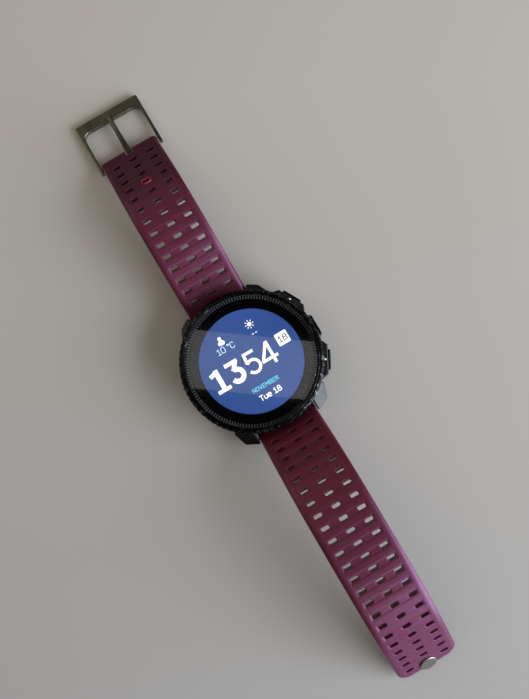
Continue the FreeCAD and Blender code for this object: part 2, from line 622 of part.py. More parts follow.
def make_button(name, place):
    """One button drawn at 3 o'clock and turned to its place: cap and stem, seal, clip and spring."""
    angle = place * size("button_step")
    outer = "middle_cap_outer" if place == 0 else "cap_outer"
    base_half = "middle_cap_half" if place == 0 else "cap_base_half"
    outer_half = "middle_cap_half - 0.4" if place == 0 else "cap_outer_half"
    body = doc.addObject("PartDesign::Body", f"button_{name}_body")
    low, high = "button_axis - cap_high / 2", "button_axis + cap_high / 2"
    pad(body, f"cap_{name}", [[
        ("cap_inner", f"-({base_half})"), (f"{outer} - cap_edge", f"-({outer_half})"),
        (outer, f"-({outer_half} - cap_edge)"), (outer, f"{outer_half} - cap_edge"),
        (f"{outer} - cap_edge", outer_half), ("cap_inner", base_half),
    ]], low, high)
    inner = size("cap_inner")
    round_edges(body, f"cap_edges_{name}", "cap_round", lambda edge: edge.BoundBox.XMax > inner + 0.3)
    sketch = new_sketch(body, f"stem_{name}_profile", "XY_Plane", "button_axis")
    groove_end = "clip_place + clip_thick + 0.02"
    draw_outline(sketch, [
        ("stem_inner", "0"), ("stem_inner", "stem_radius"),
        ("clip_place - 0.02", "stem_radius"), ("clip_place - 0.02", "clip_groove_radius"),
        (groove_end, "clip_groove_radius"), (groove_end, "stem_radius"),
        ("seal_place", "stem_radius"), ("seal_place", "seal_inner"),
        ("seal_place + seal_wide", "seal_inner"), ("seal_place + seal_wide", "stem_radius"),
        ("cap_inner + 0.3", "stem_radius"), ("cap_inner + 0.3", "0"),
    ])
    stem = body.newObject("PartDesign::Revolution", f"stem_{name}")
    stem.Profile = sketch
    stem.ReferenceAxis = (sketch, ["H_Axis"])
    stem.Angle = TURN
    body.Placement = turned_to(angle)
    node(f"button_{name}", body)

    def ring(part, inner, radius, start, thick):
        lathe_axis = turned_to(angle).multiply(sideways(size(start), 0, size("button_axis")))
        outside = cylinder(f"{part}_{name}_outside", radius, thick, lathe_axis)
        inside = cylinder(f"{part}_{name}_inside", inner, thick, lathe_axis)
        return cut(f"{part}_{name}_ring", outside, inside)

    node(f"button_seal_{name}", ring("seal", "seal_inner + 0.01", "seal_radius - 0.01", "seal_place + 0.02",
                                     "seal_wide - 0.04"))
    node(f"button_clip_{name}", ring("clip", "clip_groove_radius + 0.01", "clip_radius",
                                     "clip_place", "clip_thick"))
    start = size("spring_pocket_floor + button_spring_wire + 0.02")
    length = "cap_inner - spring_pocket_floor - 2 * button_spring_wire - 0.06"
    place = turned_to(angle).multiply(sideways(start, 0, size("button_axis")))
    node(f"button_spring_{name}", spring_coil(f"button_spring_{name}_coil", "button_spring_radius",
                                              "button_spring_wire", "button_spring_pitch", length, place))


# ---- strap halves ----

class Path:
    """A strap's centreline in its side view: runs that are straight or tangent arcs.

    Places are (reach, height), with reach measured from the watch's centre along its half."""

    def __init__(self, slope, spans):
        self.runs = []
        reach, height, travelled = size("pivot_along"), size("pivot_height"), 0.0
        start = math.radians(size(slope))
        for run, end_slope in spans:
            length, end = size(run), math.radians(size(end_slope))
            self.runs.append((travelled, length, reach, height, start, end))
            reach, height = self.step(reach, height, start, end, length, length)
            travelled, start = travelled + length, end

    @staticmethod
    def step(reach, height, start, end, length, part):
        """The point a part of the way along one run."""
        bend = (end - start) / length
        if abs(bend) < 1e-9:
            return reach + part * math.cos(start), height + part * math.sin(start)
        slope = start + bend * part
        return (reach + (math.sin(slope) - math.sin(start)) / bend,
                height - (math.cos(slope) - math.cos(start)) / bend)

    def at(self, travel, off=0.0):
        """Reach, height and slope at a distance along the path, off to its upper side."""
        for begun, length, reach, height, start, end in self.runs:
            if travel <= begun + length or (begun, length) == self.runs[-1][:2]:
                part = travel - begun
                slope = start + (end - start) / length * part
                there, up = self.step(reach, height, start, end, length, part)
                return there - math.sin(slope) * off, up + math.cos(slope) * off, slope

    def breaks(self, stop):
        return [0.0] + [begun for begun, *rest in self.runs[1:] if begun < stop] + [stop]


def short_path():
    return Path("short_slope", [
        ("short_straight", "short_slope"), ("short_crest_run", "short_crest_slope"),
        ("short_fall_run", "short_fall_slope"), ("short_end_run", "short_end_slope"),
    ])


def long_path():
    return Path("long_slope", [
        ("long_root_run", "long_root_slope"), ("long_rise_run", "long_rise_slope"),
        ("long_crest_run", "long_crest_slope"), ("long_fall_run", "long_fall_slope"),
        ("long_end_run", "long_fall_slope"),
    ])


def side_point(path, travel, off, end):
    reach, height, slope = path.at(travel, off)
    return Vector(0, end * reach, height)


def band_edges(path, stop, off, end):
    """The upper or lower edge of the band, one edge for each run."""
    edges = []
    stops = path.breaks(stop)
    for low, high in zip(stops, stops[1:]):
        places = (low, (low + high) / 2, high)
        first, middle, last = (side_point(path, travel, off, end) for travel in places)
        chord = (last - first).Length
        sag = middle.distanceToPoint((first + last) / 2)
        edge = Part.Arc(first, middle, last) if sag > chord * 1e-5 else Part.LineSegment(first, last)
        edges.append(edge.toShape())
    return edges


def across_watch(face):
    """A face in the side view, made as wide as the strap."""
    wide = size("strap_wide")
    face.translate(Vector(-wide / 2, 0, 0))
    return face.extrude(Vector(wide, 0, 0))


def band_solid(path, stop, end):
    half = size("strap_thick") / 2
    top, low = band_edges(path, stop, half, end), band_edges(path, stop, -half, end)
    corners = [[side_point(path, travel, off, end) for off in (half, -half)] for travel in (0, stop)]
    caps = [Part.LineSegment(*pair).toShape() for pair in corners]
    outline = Part.Wire(Part.__sortEdges__(top + low + caps))
    return across_watch(Part.Face(outline))


def knuckle_solid(path, centre, away, radius, end):
    """The thickened end round a pin: a barrel, and a wedge that runs out into the band."""
    half = size("strap_thick") / 2
    wide = size("strap_wide")
    near = [side_point(path, centre, side * radius, end) for side in (1, -1)]
    far = [side_point(path, away, side * half, end) for side in (-1, 1)]
    wedge = across_watch(Part.Face(Part.makePolygon(near + far + near[:1])))
    hub = side_point(path, centre, 0, end)
    barrel = Part.makeCylinder(radius, wide, hub - Vector(wide / 2, 0, 0), RIGHT)
    return barrel.fuse(wedge)


def seated(shape, path, travel, off, end):
    """Moves a tool drawn at the origin, Z up and Y along the strap, to its place on the path."""
    reach, height, slope = path.at(travel, off)
    turn = Rotation(RIGHT, math.degrees(end * slope))
    return shape.transformGeometry(Placement(Vector(0, end * reach, height), turn).toMatrix())


def slot_tool(across):
    """One slot: a rounded rectangle through the band."""
    wide, run, corner = size("slot_wide"), size("slot_run"), size("slot_corner")
    deep = 3 * size("strap_thick")
    tool = Part.makeBox(wide, run, deep, Vector(across - wide / 2, -run / 2, -deep / 2))
    uprights = [edge for edge in tool.Edges if abs(edge.tangentAt(edge.FirstParameter).z) > 0.5]
    return tool.makeFillet(corner, uprights)


def slot_tools(path, first, rows, end, skip_last_middle):
    tools = []
    for row in range(int(size(rows))):
        columns = [-1, 0, 1]
        if skip_last_middle and row == int(size(rows)) - 1:
            columns = [-1, 1]
        travel = size(first) + row * size("slot_pitch")
        for column in columns:
            tools.append(seated(slot_tool(column * size("slot_column")), path, travel, 0, end))
    return tools


def x_bore(path, travel, radius, end):
    """A bore across the strap."""
    wide = size("strap_wide") + 2
    return Part.makeCylinder(radius, wide, side_point(path, travel, 0, end) - Vector(wide / 2, 0, 0),
                             RIGHT)


def lever_notch(path, end):
    """The notch under the root that a finger reaches the release lever through."""
    half, room = size("lever_notch_half"), size("root_radius") + 1.2
    middle = -size("lever_place") + size("release_travel") / 2
    tool = Part.makeBox(2 * half, 3.0, room, Vector(middle - half, -1.3, -room))
    return seated(tool, path, 0, 0, end)


def strap_feature(name, shape):
    thing = doc.addObject("Part::Feature", name + "_moulding")
    thing.Shape = shape.removeSplitter()
    return node(name, thing)


def make_strap_short():
    """The buckle half of the strap."""
    path, end = short_path(), 1
    pin_at = size("short_first_row + (short_rows - 1) * slot_pitch + pin_after_row")
    solid = band_solid(path, pin_at, end)
    solid = solid.fuse([knuckle_solid(path, 0, size("root_run"), size("root_radius"), end),
                        knuckle_solid(path, pin_at, pin_at - size("nose_run"), size("nose_radius"), end)])
    boss_at = size("short_first_row + boss_row * slot_pitch")
    boss = Part.makeCylinder(size("boss_ring_radius"), size("strap_thick / 2 + boss_ring_rise"))
    solid = solid.fuse(seated(boss, path, boss_at, 0, end))
    tools = slot_tools(path, "short_first_row", "short_rows", end, False)
    tools += [x_bore(path, 0, size("bar_bore"), end), x_bore(path, pin_at, size("pin_bore"), end)]
    tools.append(lever_notch(path, end))
    half, back = size("tongue_notch_half"), size("tongue_notch_back")
    notch = Part.makeBox(2 * half, 6 + back, 8, Vector(-half, -back, -4))
    tools.append(seated(notch, path, pin_at, 0, end))
    return strap_feature("strap_short", solid.cut(Part.makeCompound(tools)))


def make_strap_long():
    """The long half of the strap, with the hole for the stud in its tip."""
    path, end = long_path(), -1
    stud_at = size("long_first_row + (long_rows - 1) * slot_pitch + stud_after_row")
    tip_at = stud_at + size("tip_after_stud")
    solid = band_solid(path, tip_at, end)
    tip = side_point(path, tip_at, 0, end)
    corners = [edge for edge in solid.Edges
               if edge.Length < size("strap_thick * 1.05") and not runs_along(edge, RIGHT)
               and (edge.CenterOfMass - tip).Length < size("strap_wide")]
    solid = solid.makeFillet(size("tip_corner"), corners)
    solid = solid.fuse(knuckle_solid(path, 0, size("root_run"), size("root_radius"), end))
    tools = slot_tools(path, "long_first_row", "long_rows", end, True)
    tools.append(x_bore(path, 0, size("bar_bore"), end))
    tools.append(lever_notch(path, end))
    hole = Part.makeCylinder(size("peg_neck + 0.03"), 8, Vector(0, 0, -4))
    tools.append(seated(hole, path, stud_at, 0, end))
    return strap_feature("strap_long", solid.cut(Part.makeCompound(tools)))


def make_stud():
    """The stud in the tip: a domed head above and a peg with a flange below."""
    path, end = long_path(), -1
    stud_at = size("long_first_row + (long_rows - 1) * slot_pitch + stud_after_row")
    half = size("strap_thick") / 2
    head = Part.makeCylinder(size("stud_radius"), size("stud_rise"), Vector(0, 0, half + 0.02))
    rim = [edge for edge in head.Edges if edge.CenterOfMass.z > half + 0.1 and edge.Length > 10]
    head = head.makeFillet(size("stud_rise") * 0.6, rim[:1])
    thing = doc.addObject("Part::Feature", "stud_head_turned")
    thing.Shape = seated(head, path, stud_at, 0, end)
    node("stud_head", thing)
    neck = Part.makeCylinder(size("peg_neck"), 2 * half + 0.02, Vector(0, 0, -half))
    flange = Part.makeCylinder(size("peg_flange"), size("peg_flange_thick"),
                               Vector(0, 0, -half - 0.02 - size("peg_flange_thick")))
    peg_low = -half - 0.02 - size("peg_drop")
    peg = Part.makeCylinder(size("peg_radius"), size("peg_drop"), Vector(0, 0, peg_low))
    ball = Part.makeCylinder(size("peg_radius") * 1.35, size("peg_drop") * 0.35, Vector(0, 0, peg_low))
    joint = Part.makeCylinder(size("peg_neck"), 0.1, Vector(0, 0, -half - 0.05))
    lower = flange.fuse([peg, ball, neck, joint])
    thing = doc.addObject("Part::Feature", "stud_peg_turned")
    thing.Shape = seated(lower.removeSplitter(), path, stud_at, 0, end)
    node("stud_peg", thing)


# ---- spring bars ----

def make_spring_bar(clock, end):
    """A quick-release spring bar: tube with one fixed tip, sliding pin with a lever, and a spring."""
    path = short_path() if end > 0 else long_path()
    centre = side_point(path, 0, 0, end)
    slope = path.at(0)[2]
    away = Vector(0, end * math.sin(slope), -math.cos(slope))

    def rod(radius, start, stop):
        return Part.makeCylinder(size(radius), size(stop) - size(start), centre + RIGHT * size(start), RIGHT)

    tube = rod("bar_radius", "-bar_half", "bar_half").cut(rod("bar_hollow", "-bar_half - 1", "bar_floor"))
    window_low = size("-lever_place - lever_radius - 0.1")
    window_long = size("release_travel + 2 * lever_radius + 0.2")
    window = Part.makeBox(window_long, 2 * size("lever_radius + 0.08"), 3,
                          Vector(window_low, -size("lever_radius + 0.08"), -3))
    tube = tube.cut(seated(window, path, 0, 0, end))
    tube = tube.fuse(rod("tip_radius", "bar_half - 0.5", "tip_reach"))
    thing = doc.addObject("Part::Feature", f"bar_tube_{clock}_turned")
    thing.Shape = tube.removeSplitter()
    node(f"bar_tube_{clock}", thing)
    pin = rod("tip_radius", "-tip_reach", "-bar_half + 0.5")
    pin = pin.fuse([rod("shoulder_radius", "-bar_half + 0.3", "-shoulder_inner"),
                    Part.makeCylinder(size("lever_radius"), size("lever_long"),
                                      centre - RIGHT * size("lever_place"), away)])
    thing = doc.addObject("Part::Feature", f"release_pin_{clock}_turned")
    thing.Shape = pin.removeSplitter()
    node(f"release_pin_{clock}", thing)
    start = size("-shoulder_inner + bar_spring_wire + 0.02")
    length = "bar_floor + shoulder_inner - 2 * bar_spring_wire - 0.04"
    place = sideways(start, centre.y, centre.z)
    coil = spring_coil(f"bar_spring_{clock}_coil", "bar_spring_radius", "bar_spring_wire",
                       "bar_spring_pitch", length, place)
    node(f"bar_spring_{clock}", coil)


# ---- buckle ----

def buckle_place():
    """The buckle's own frame: X across, Y away from the strap, at the pin, tilted down to the ground."""
    path = short_path()
    pin_at = size("short_first_row + (short_rows - 1) * slot_pitch + pin_after_row")
    return Placement(side_point(path, pin_at, 0, 1), Rotation(RIGHT, -size("buckle_tilt")))


def make_buckle():
    """The buckle: frame, tongue and pin, drawn flat and then tilted."""
    place = buckle_place()
    body = doc.addObject("PartDesign::Body", "buckle_frame_body")
    pad(body, "frame_plate", [[
        ("-buckle_half", "-buckle_back"), ("-buckle_bore_half", "-buckle_back"),
        ("-buckle_bore_half", "bar_near"), ("buckle_bore_half", "bar_near"),
        ("buckle_bore_half", "-buckle_back"), ("buckle_half", "-buckle_back"),
        ("buckle_half", "buckle_far"), ("-buckle_half", "buckle_far"),
    ]], "-arm_thick / 2", "arm_thick / 2")
    near, inside = size("bar_near"), size("buckle_bore_half + 0.1")
    round_edges(body, "opening_corners", "opening_corner",
                lambda edge: runs_along(edge, UP) and abs(edge.CenterOfMass.y - near) < ON_EDGE
                and abs(edge.CenterOfMass.x) < inside)
    far = size("buckle_far")
    round_edges(body, "outer_corners", "buckle_corner",
                lambda edge: runs_along(edge, UP) and abs(edge.CenterOfMass.y - far) < ON_EDGE)
    top = size("arm_thick / 2")
    round_edges(body, "plate_rims", "buckle_round",
                lambda edge: edge.BoundBox.ZLength < ON_EDGE and abs(edge.CenterOfMass.z) > top - ON_EDGE
                and edge.BoundBox.YMax > -size("buckle_back") + ON_EDGE)
    rest = rectangle("-rest_notch_half", "rest_notch_half", "bar_near - 1", "tongue_tip + 0.25")
    pocket(body, "tongue_rest", [rest], "arm_thick / 2 - rest_notch_depth", "arm_thick / 2 + 1")
    pocket(body, "pin_bores", [], "-buckle_half - 1", "buckle_half + 1", role="YZ_Plane",
           circles=[("0", "0", "pin_radius")])
    body.Placement = place
    node("buckle_frame", body)
    pin = cylinder("buckle_pin_rod", "pin_radius", "2 * buckle_half",
                   place.multiply(sideways(-size("buckle_half"), 0, 0)))
    node("buckle_pin", pin)
    make_tongue(place)


def make_tongue(place):
    """The tongue: a ring on the pin and a bowed, tapering bar whose tip lies in the frame's notch."""
    half, tip_half, thick = size("tongue_half"), size("tongue_tip_half"), size("tongue_thick")
    rest = size("arm_thick / 2 - rest_notch_depth + 0.06")
    tip, crest_at, crest = size("tongue_tip"), size("tongue_crest_place"), size("tongue_crest")
    low = [Vector(-half, 0.4, 0.1), Vector(-half, crest_at, crest - thick), Vector(-half, tip, rest)]
    high = [Vector(-half, tip, rest + thick * 0.75), Vector(-half, crest_at, crest),
            Vector(-half, 0, size("tongue_ring"))]
    lower, upper = Part.BSplineCurve(), Part.BSplineCurve()
    lower.interpolate(low)
    upper.interpolate(high)
    start, end = Part.LineSegment(high[-1], low[0]), Part.LineSegment(low[-1], high[0])
    outline = Part.Wire([start.toShape(), lower.toShape(), end.toShape(), upper.toShape()])
    bar = Part.Face(outline).extrude(RIGHT * 2 * half)
    sides = [(half, -1.0), (size("tongue_waist_half"), size("tongue_waist_place")), (tip_half, tip)]
    plan = [Vector(-across, along, -1) for across, along in sides]
    plan += [Vector(across, along, -1) for across, along in reversed(sides)]
    bar = bar.common(Part.Face(Part.makePolygon(plan + plan[:1])).extrude(UP * 6))
    rims = [edge for edge in bar.Edges
            if edge.BoundBox.YLength > 1 and upper.toShape().distToShape(Part.Vertex(
                Vector(-half, edge.CenterOfMass.y, edge.CenterOfMass.z)))[0] < thick / 4]
    bar = bar.makeFillet(size("tongue_round"), rims)
    ring = Part.makeCylinder(size("tongue_ring"), 2 * half, Vector(-half, 0, 0), RIGHT)
    bore = Part.makeCylinder(size("tongue_bore"), 4 * half, Vector(-2 * half, 0, 0), RIGHT)
    thing = doc.addObject("Part::Feature", "buckle_tongue_formed")
    thing.Shape = bar.fuse(ring).cut(bore).removeSplitter()
    thing.Placement = place
    node("buckle_tongue", thing)


def check_and_export():
    """Stops on any failed object or shape, then writes each sub-part to its own file."""
    doc.recompute()
    for thing in doc.Objects:
        if "Invalid" in thing.State or "Error" in thing.State:
            raise RuntimeError(f"{thing.Name} failed: {thing.State}")
    os.makedirs("parts", exist_ok=True)
    for thing in nodes:
        shape = thing.Shape
        if shape.isNull() or not shape.isValid() or not shape.Solids:
            raise RuntimeError(f"{thing.Label} has no valid solid")
        shape.exportStep(f"parts/{thing.Label}.step")
        print(f"{thing.Label:24s} solids {len(shape.Solids):3d}  volume {shape.Volume:9.2f} mm3")


case_body = make_mid_case()
doc.recompute()
finish_mid_case(case_body)
make_guard_marks()
make_bezel()
make_glass_and_display()
make_case_back()
make_inside()
make_button_switches()
for button_name, button_place in BUTTONS.items():
    make_button(button_name, button_place)
make_strap_short()
make_strap_long()
make_stud()
make_spring_bar("north", 1)
make_spring_bar("south", -1)
make_buckle()
check_and_export()
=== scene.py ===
"""Looks of a running watch that lies on its back: slotted silicone strap, notched bezel, lit display.

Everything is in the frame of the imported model. Driving sizes are in millimetres, and MM turns them into
metres where a mesh is made. The watch's +Y points to 12 o'clock, and +Z out through the display.
"""
import json
import math

import bmesh
import bpy
import numpy as np
from mathutils import Matrix, Vector
from mathutils.geometry import delaunay_2d_cdt


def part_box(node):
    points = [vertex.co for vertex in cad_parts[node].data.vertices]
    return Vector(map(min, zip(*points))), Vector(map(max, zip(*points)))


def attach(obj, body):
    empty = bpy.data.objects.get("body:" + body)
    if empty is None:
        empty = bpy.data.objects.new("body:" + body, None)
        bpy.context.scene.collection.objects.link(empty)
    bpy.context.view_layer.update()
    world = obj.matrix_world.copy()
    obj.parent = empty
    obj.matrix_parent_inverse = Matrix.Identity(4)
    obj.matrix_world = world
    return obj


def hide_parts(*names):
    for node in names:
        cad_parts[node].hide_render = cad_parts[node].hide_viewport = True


MM = 0.001
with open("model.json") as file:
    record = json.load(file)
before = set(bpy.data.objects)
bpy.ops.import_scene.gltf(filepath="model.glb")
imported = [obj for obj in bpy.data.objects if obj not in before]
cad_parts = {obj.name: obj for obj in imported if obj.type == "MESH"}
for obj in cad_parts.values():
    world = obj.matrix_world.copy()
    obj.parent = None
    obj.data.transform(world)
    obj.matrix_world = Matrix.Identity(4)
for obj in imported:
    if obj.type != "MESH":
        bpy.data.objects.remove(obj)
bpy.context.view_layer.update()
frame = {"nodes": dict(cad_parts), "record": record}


def top_of(node):
    """Height of a CAD node's highest point, in millimetres."""
    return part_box(node)[1].z / MM


# ---- materials ----

SOCKETS = {
    "sheen_weight": "Sheen Weight", "sheen_roughness": "Sheen Roughness", "sheen_tint": "Sheen Tint",
    "coat_weight": "Coat Weight", "specular_level": "Specular IOR Level", "index": "IOR",
    "transmission": "Transmission Weight", "glow": "Emission Strength", "specular_tint": "Specular Tint",
}


class Paint:
    """A procedural material: a Principled shader and the nodes that feed it, in row-frame metres."""

    def __init__(self, name, colour, rough, metal=0.0, **constants):
        self.material = bpy.data.materials.new(name)
        self.material.use_nodes = True
        self.nodes = self.material.node_tree.nodes
        self.shader = self.nodes["Principled BSDF"]
        self.shader.inputs["Base Color"].default_value = (*colour, 1)
        self.shader.inputs["Roughness"].default_value = rough
        self.shader.inputs["Metallic"].default_value = metal
        for socket, amount in constants.items():
            self.shader.inputs[SOCKETS[socket]].default_value = amount
        self.place = self.nodes.new("ShaderNodeTexCoord").outputs["Object"]

    def feed(self, socket, value):
        """Links an output to a socket, or sets the socket to a constant."""
        if isinstance(value, bpy.types.NodeSocket):
            self.material.node_tree.links.new(value, socket)
        elif isinstance(value, tuple) and len(value) == 3 and len(socket.default_value) == 4:
            socket.default_value = (*value, 1)
        else:
            socket.default_value = value

    def noise(self, size_mm, detail=2.0, stretch=(1, 1, 1)):
        """Noise whose features are about size_mm across."""
        scaled = self.nodes.new("ShaderNodeVectorMath")
        scaled.operation = "MULTIPLY"
        self.feed(scaled.inputs[0], self.place)
        scaled.inputs[1].default_value = tuple(part / (size_mm * MM) for part in stretch)
        texture = self.nodes.new("ShaderNodeTexNoise")
        texture.inputs["Scale"].default_value = 1.0
        texture.inputs["Detail"].default_value = detail
        self.feed(texture.inputs["Vector"], scaled.outputs[0])
        return texture.outputs["Fac"]

    def remap(self, value, low, high, to_low=0.0, to_high=1.0):
        """Maps a value from one range to another, held at the ends."""
        node = self.nodes.new("ShaderNodeMapRange")
        for socket, amount in zip(node.inputs[:5], (value, low, high, to_low, to_high)):
            self.feed(socket, amount)
        return node.outputs[0]

    def blend(self, factor, first, second):
        """Mixes two colours."""
        node = self.nodes.new("ShaderNodeMix")
        node.data_type = "RGBA"
        self.feed(node.inputs["Factor"], factor)
        self.feed(node.inputs[6], first)
        self.feed(node.inputs[7], second)
        return node.outputs[2]

    def axis(self, which):
        """One coordinate of the shaded point, in metres."""
        split = self.nodes.new("ShaderNodeSeparateXYZ")
        self.feed(split.inputs[0], self.place)
        return split.outputs[which]

    def along(self, direction):
        """How far the shaded point lies along a fixed direction, in metres."""
        node = self.nodes.new("ShaderNodeVectorMath")
        node.operation = "DOT_PRODUCT"
        self.feed(node.inputs[0], self.place)
        node.inputs[1].default_value = tuple(direction)
        return node.outputs["Value"]

    def attribute(self, name):
        """A value that the mesh carries at each point."""
        node = self.nodes.new("ShaderNodeAttribute")
        node.attribute_name = name
        return node.outputs["Fac"]

    def combine(self, operation, first, second):
        """Joins two values by a Math operation."""
        node = self.nodes.new("ShaderNodeMath")
        node.operation = operation
        self.feed(node.inputs[0], first)
        self.feed(node.inputs[1], second)
        return node.outputs[0]

    def colour(self, value):
        self.feed(self.shader.inputs["Base Color"], value)

    def rough(self, value):
        self.feed(self.shader.inputs["Roughness"], value)

    def bump(self, height, depth_mm):
        """Adds relief depth_mm deep to what is there already."""
        node = self.nodes.new("ShaderNodeBump")
        node.inputs["Strength"].default_value = 1.0
        node.inputs["Distance"].default_value = depth_mm * MM
        self.feed(node.inputs["Height"], height)
        earlier = self.shader.inputs["Normal"].links
        if earlier:
            self.feed(node.inputs["Normal"], earlier[0].from_socket)
        self.feed(self.shader.inputs["Normal"], node.outputs[0])


def moulded(name, colour, rough, grain_mm=0.12, depth_mm=0.004, **constants):
    """Moulded plastic or rubber with a fine grain and a faintly uneven gloss."""
    paint = Paint(name, colour, rough, **constants)
    paint.bump(paint.noise(grain_mm), depth_mm)
    paint.rough(paint.remap(paint.noise(4.0, 3.0), 0.3, 0.7, rough - 0.05, rough + 0.07))
    paint.colour(paint.blend(paint.noise(2.5), tuple(part * 0.85 for part in colour),
                             tuple(min(1.0, part * 1.15) for part in colour)))
    return paint


def metal(name, colour, rough, stretch=(1, 1, 1)):
    """Metal with fine tool marks, drawn out along the axes where stretch is small."""
    paint = Paint(name, colour, rough, 1.0)
    marks = paint.noise(0.08, 3.0, stretch)
    paint.bump(marks, 0.0025)
    paint.rough(paint.remap(marks, 0.3, 0.7, rough - 0.06, rough + 0.08))
    paint.colour(paint.blend(paint.noise(1.5, 3.0), tuple(part * 0.85 for part in colour), colour))
    return paint


def buckle_steel():
    """Brushed gunmetal that is a shade lighter in places."""
    paint = metal("buckle_metal", (0.2, 0.195, 0.155), 0.32, (0.08, 1, 1))
    drift = paint.remap(paint.noise(9.0, 2.0), 0.35, 0.65)
    paint.colour(paint.blend(drift, (0.13, 0.127, 0.1), (0.27, 0.265, 0.22)))
    return paint


def strap_silicone():
    """Matt plum silicone with a fine grain and a lavender gloss.

    It carries painted light and shade: a paler, lavender painted highlight at the tip, painted shade that
    makes it deeper at the buckle, and a redder, brighter painted light on the long half's root. It is also
    redder on the rim that the mesh marks as the ring.
    """
    base, bloom = (0.076, 0.0085, 0.013), (0.088, 0.011, 0.0185)
    # Painted light and shade: the tip is coloured paler and lavender as a painted highlight, the buckle end
    # deeper as painted shade, and the long root redder and brighter as painted light.
    painted_tip_light, tip_start, tip_end = (0.102, 0.0185, 0.05), -92 * MM, -120 * MM
    deep, buckle_start, buckle_end = (0.056, 0.0045, 0.006), 62 * MM, 74 * MM
    warm, root_start, root_full = (0.112, 0.0102, 0.013), -62 * MM, -42 * MM
    ring_red = (0.24, 0.016, 0.03)
    paint = Paint("strap_silicone", base, 0.44, specular_level=0.9, specular_tint=(0.95, 0.5, 1.0, 1.0),
                  sheen_weight=0.3, sheen_roughness=0.3, sheen_tint=(0.65, 0.45, 1.0, 1.0))
    plum = paint.blend(paint.remap(paint.noise(14.0, 3.0), 0.3, 0.7), base, bloom)
    along = paint.axis(1)
    long_side = paint.remap(along, MM, -MM)
    near_root = paint.combine("MULTIPLY", paint.remap(along, root_start, root_full), long_side)
    # Blends in the painted tip highlight, the painted light on the long root and the painted shade at the
    # buckle.
    for share, shade in ((paint.remap(along, tip_start, tip_end), painted_tip_light), (near_root, warm),
                         (paint.remap(along, buckle_start, buckle_end), deep)):
        plum = paint.blend(share, plum, shade)
    paint.colour(paint.blend(paint.attribute("ring"), plum, ring_red))
    paint.rough(paint.remap(paint.noise(5.0, 3.0), 0.3, 0.7, 0.41, 0.48))
    paint.bump(paint.noise(0.16, 3.0), 0.004)
    return paint


def bezel_coating():
    """Dark hard coating, rubbed through to grey in places along the edges that the mesh marks as worn."""
    dark, rubbed = (0.006, 0.006, 0.007), (0.3, 0.31, 0.33)
    paint = Paint("bezel_coating", dark, 0.3, 0.85)
    scuffs = paint.remap(paint.noise(1.4, 4.0), 0.54, 0.68)
    wear = paint.combine("MULTIPLY", paint.attribute("wear"), scuffs)
    paint.colour(paint.blend(wear, dark, rubbed))
    paint.rough(paint.remap(paint.noise(0.5, 2.0), 0.3, 0.7, 0.24, 0.36))
    paint.bump(paint.noise(0.1, 3.0), 0.002)
    return paint


def tick_print():
    """Black ring whose raised ticks are grey on top."""
    black, grey, pale_grey = (0.003, 0.003, 0.0035), (0.09, 0.09, 0.094), (0.15, 0.152, 0.158)
    paint = Paint("tick_print", (0.01, 0.01, 0.01), 0.35, specular_level=0.06)
    tick_foot = (top_of("tick_ring") - 0.1) * MM
    raised = paint.combine("GREATER_THAN", paint.axis(2), tick_foot)
    paint.colour(paint.blend(raised, black, paint.blend(paint.noise(1.2, 3.0), grey, pale_grey)))
    return paint


def display_glow():
    """The lit display: an even blue, a shade lighter in places."""
    paint = Paint("display_glow", (0.005, 0.006, 0.012), 0.12, glow=1.0)
    drift = paint.remap(paint.noise(30.0, 1.0), 0.35, 0.65)
    glow = paint.blend(drift, (0.03, 0.08, 0.285), (0.04, 0.094, 0.325))
    paint.feed(paint.shader.inputs["Emission Color"], glow)
    return paint


def glowing(name, colour, strength):
    """Glowing marks, a shade uneven as picture cells are: the display's lit lettering, and the painted glint
    of the green marks.
    """
    paint = Paint(name, (0.02, 0.02, 0.02), 0.2, glow=strength)
    glow = paint.blend(paint.noise(0.3), tuple(part * 0.92 for part in colour), colour)
    paint.feed(paint.shader.inputs["Emission Color"], glow)
    return paint


def crystal_glass():
    """Clear hard glass with faint smears."""
    paint = Paint("crystal_glass", (1.0, 1.0, 1.0), 0.0, transmission=1.0, index=1.5)
    paint.rough(paint.remap(paint.noise(6.0, 4.0, (1, 0.5, 1)), 0.4, 0.7, 0.0, 0.006))
    return paint


def circuit_board():
    """Green solder mask with copper tracks under it."""
    paint = Paint("circuit_board", (0.01, 0.09, 0.04), 0.35)
    tracks = paint.remap(paint.noise(0.8, 1.0, (1, 0.2, 1)), 0.5, 0.54)
    paint.colour(paint.blend(tracks, (0.008, 0.07, 0.03), (0.02, 0.15, 0.06)))
    paint.bump(tracks, 0.03)
    return paint


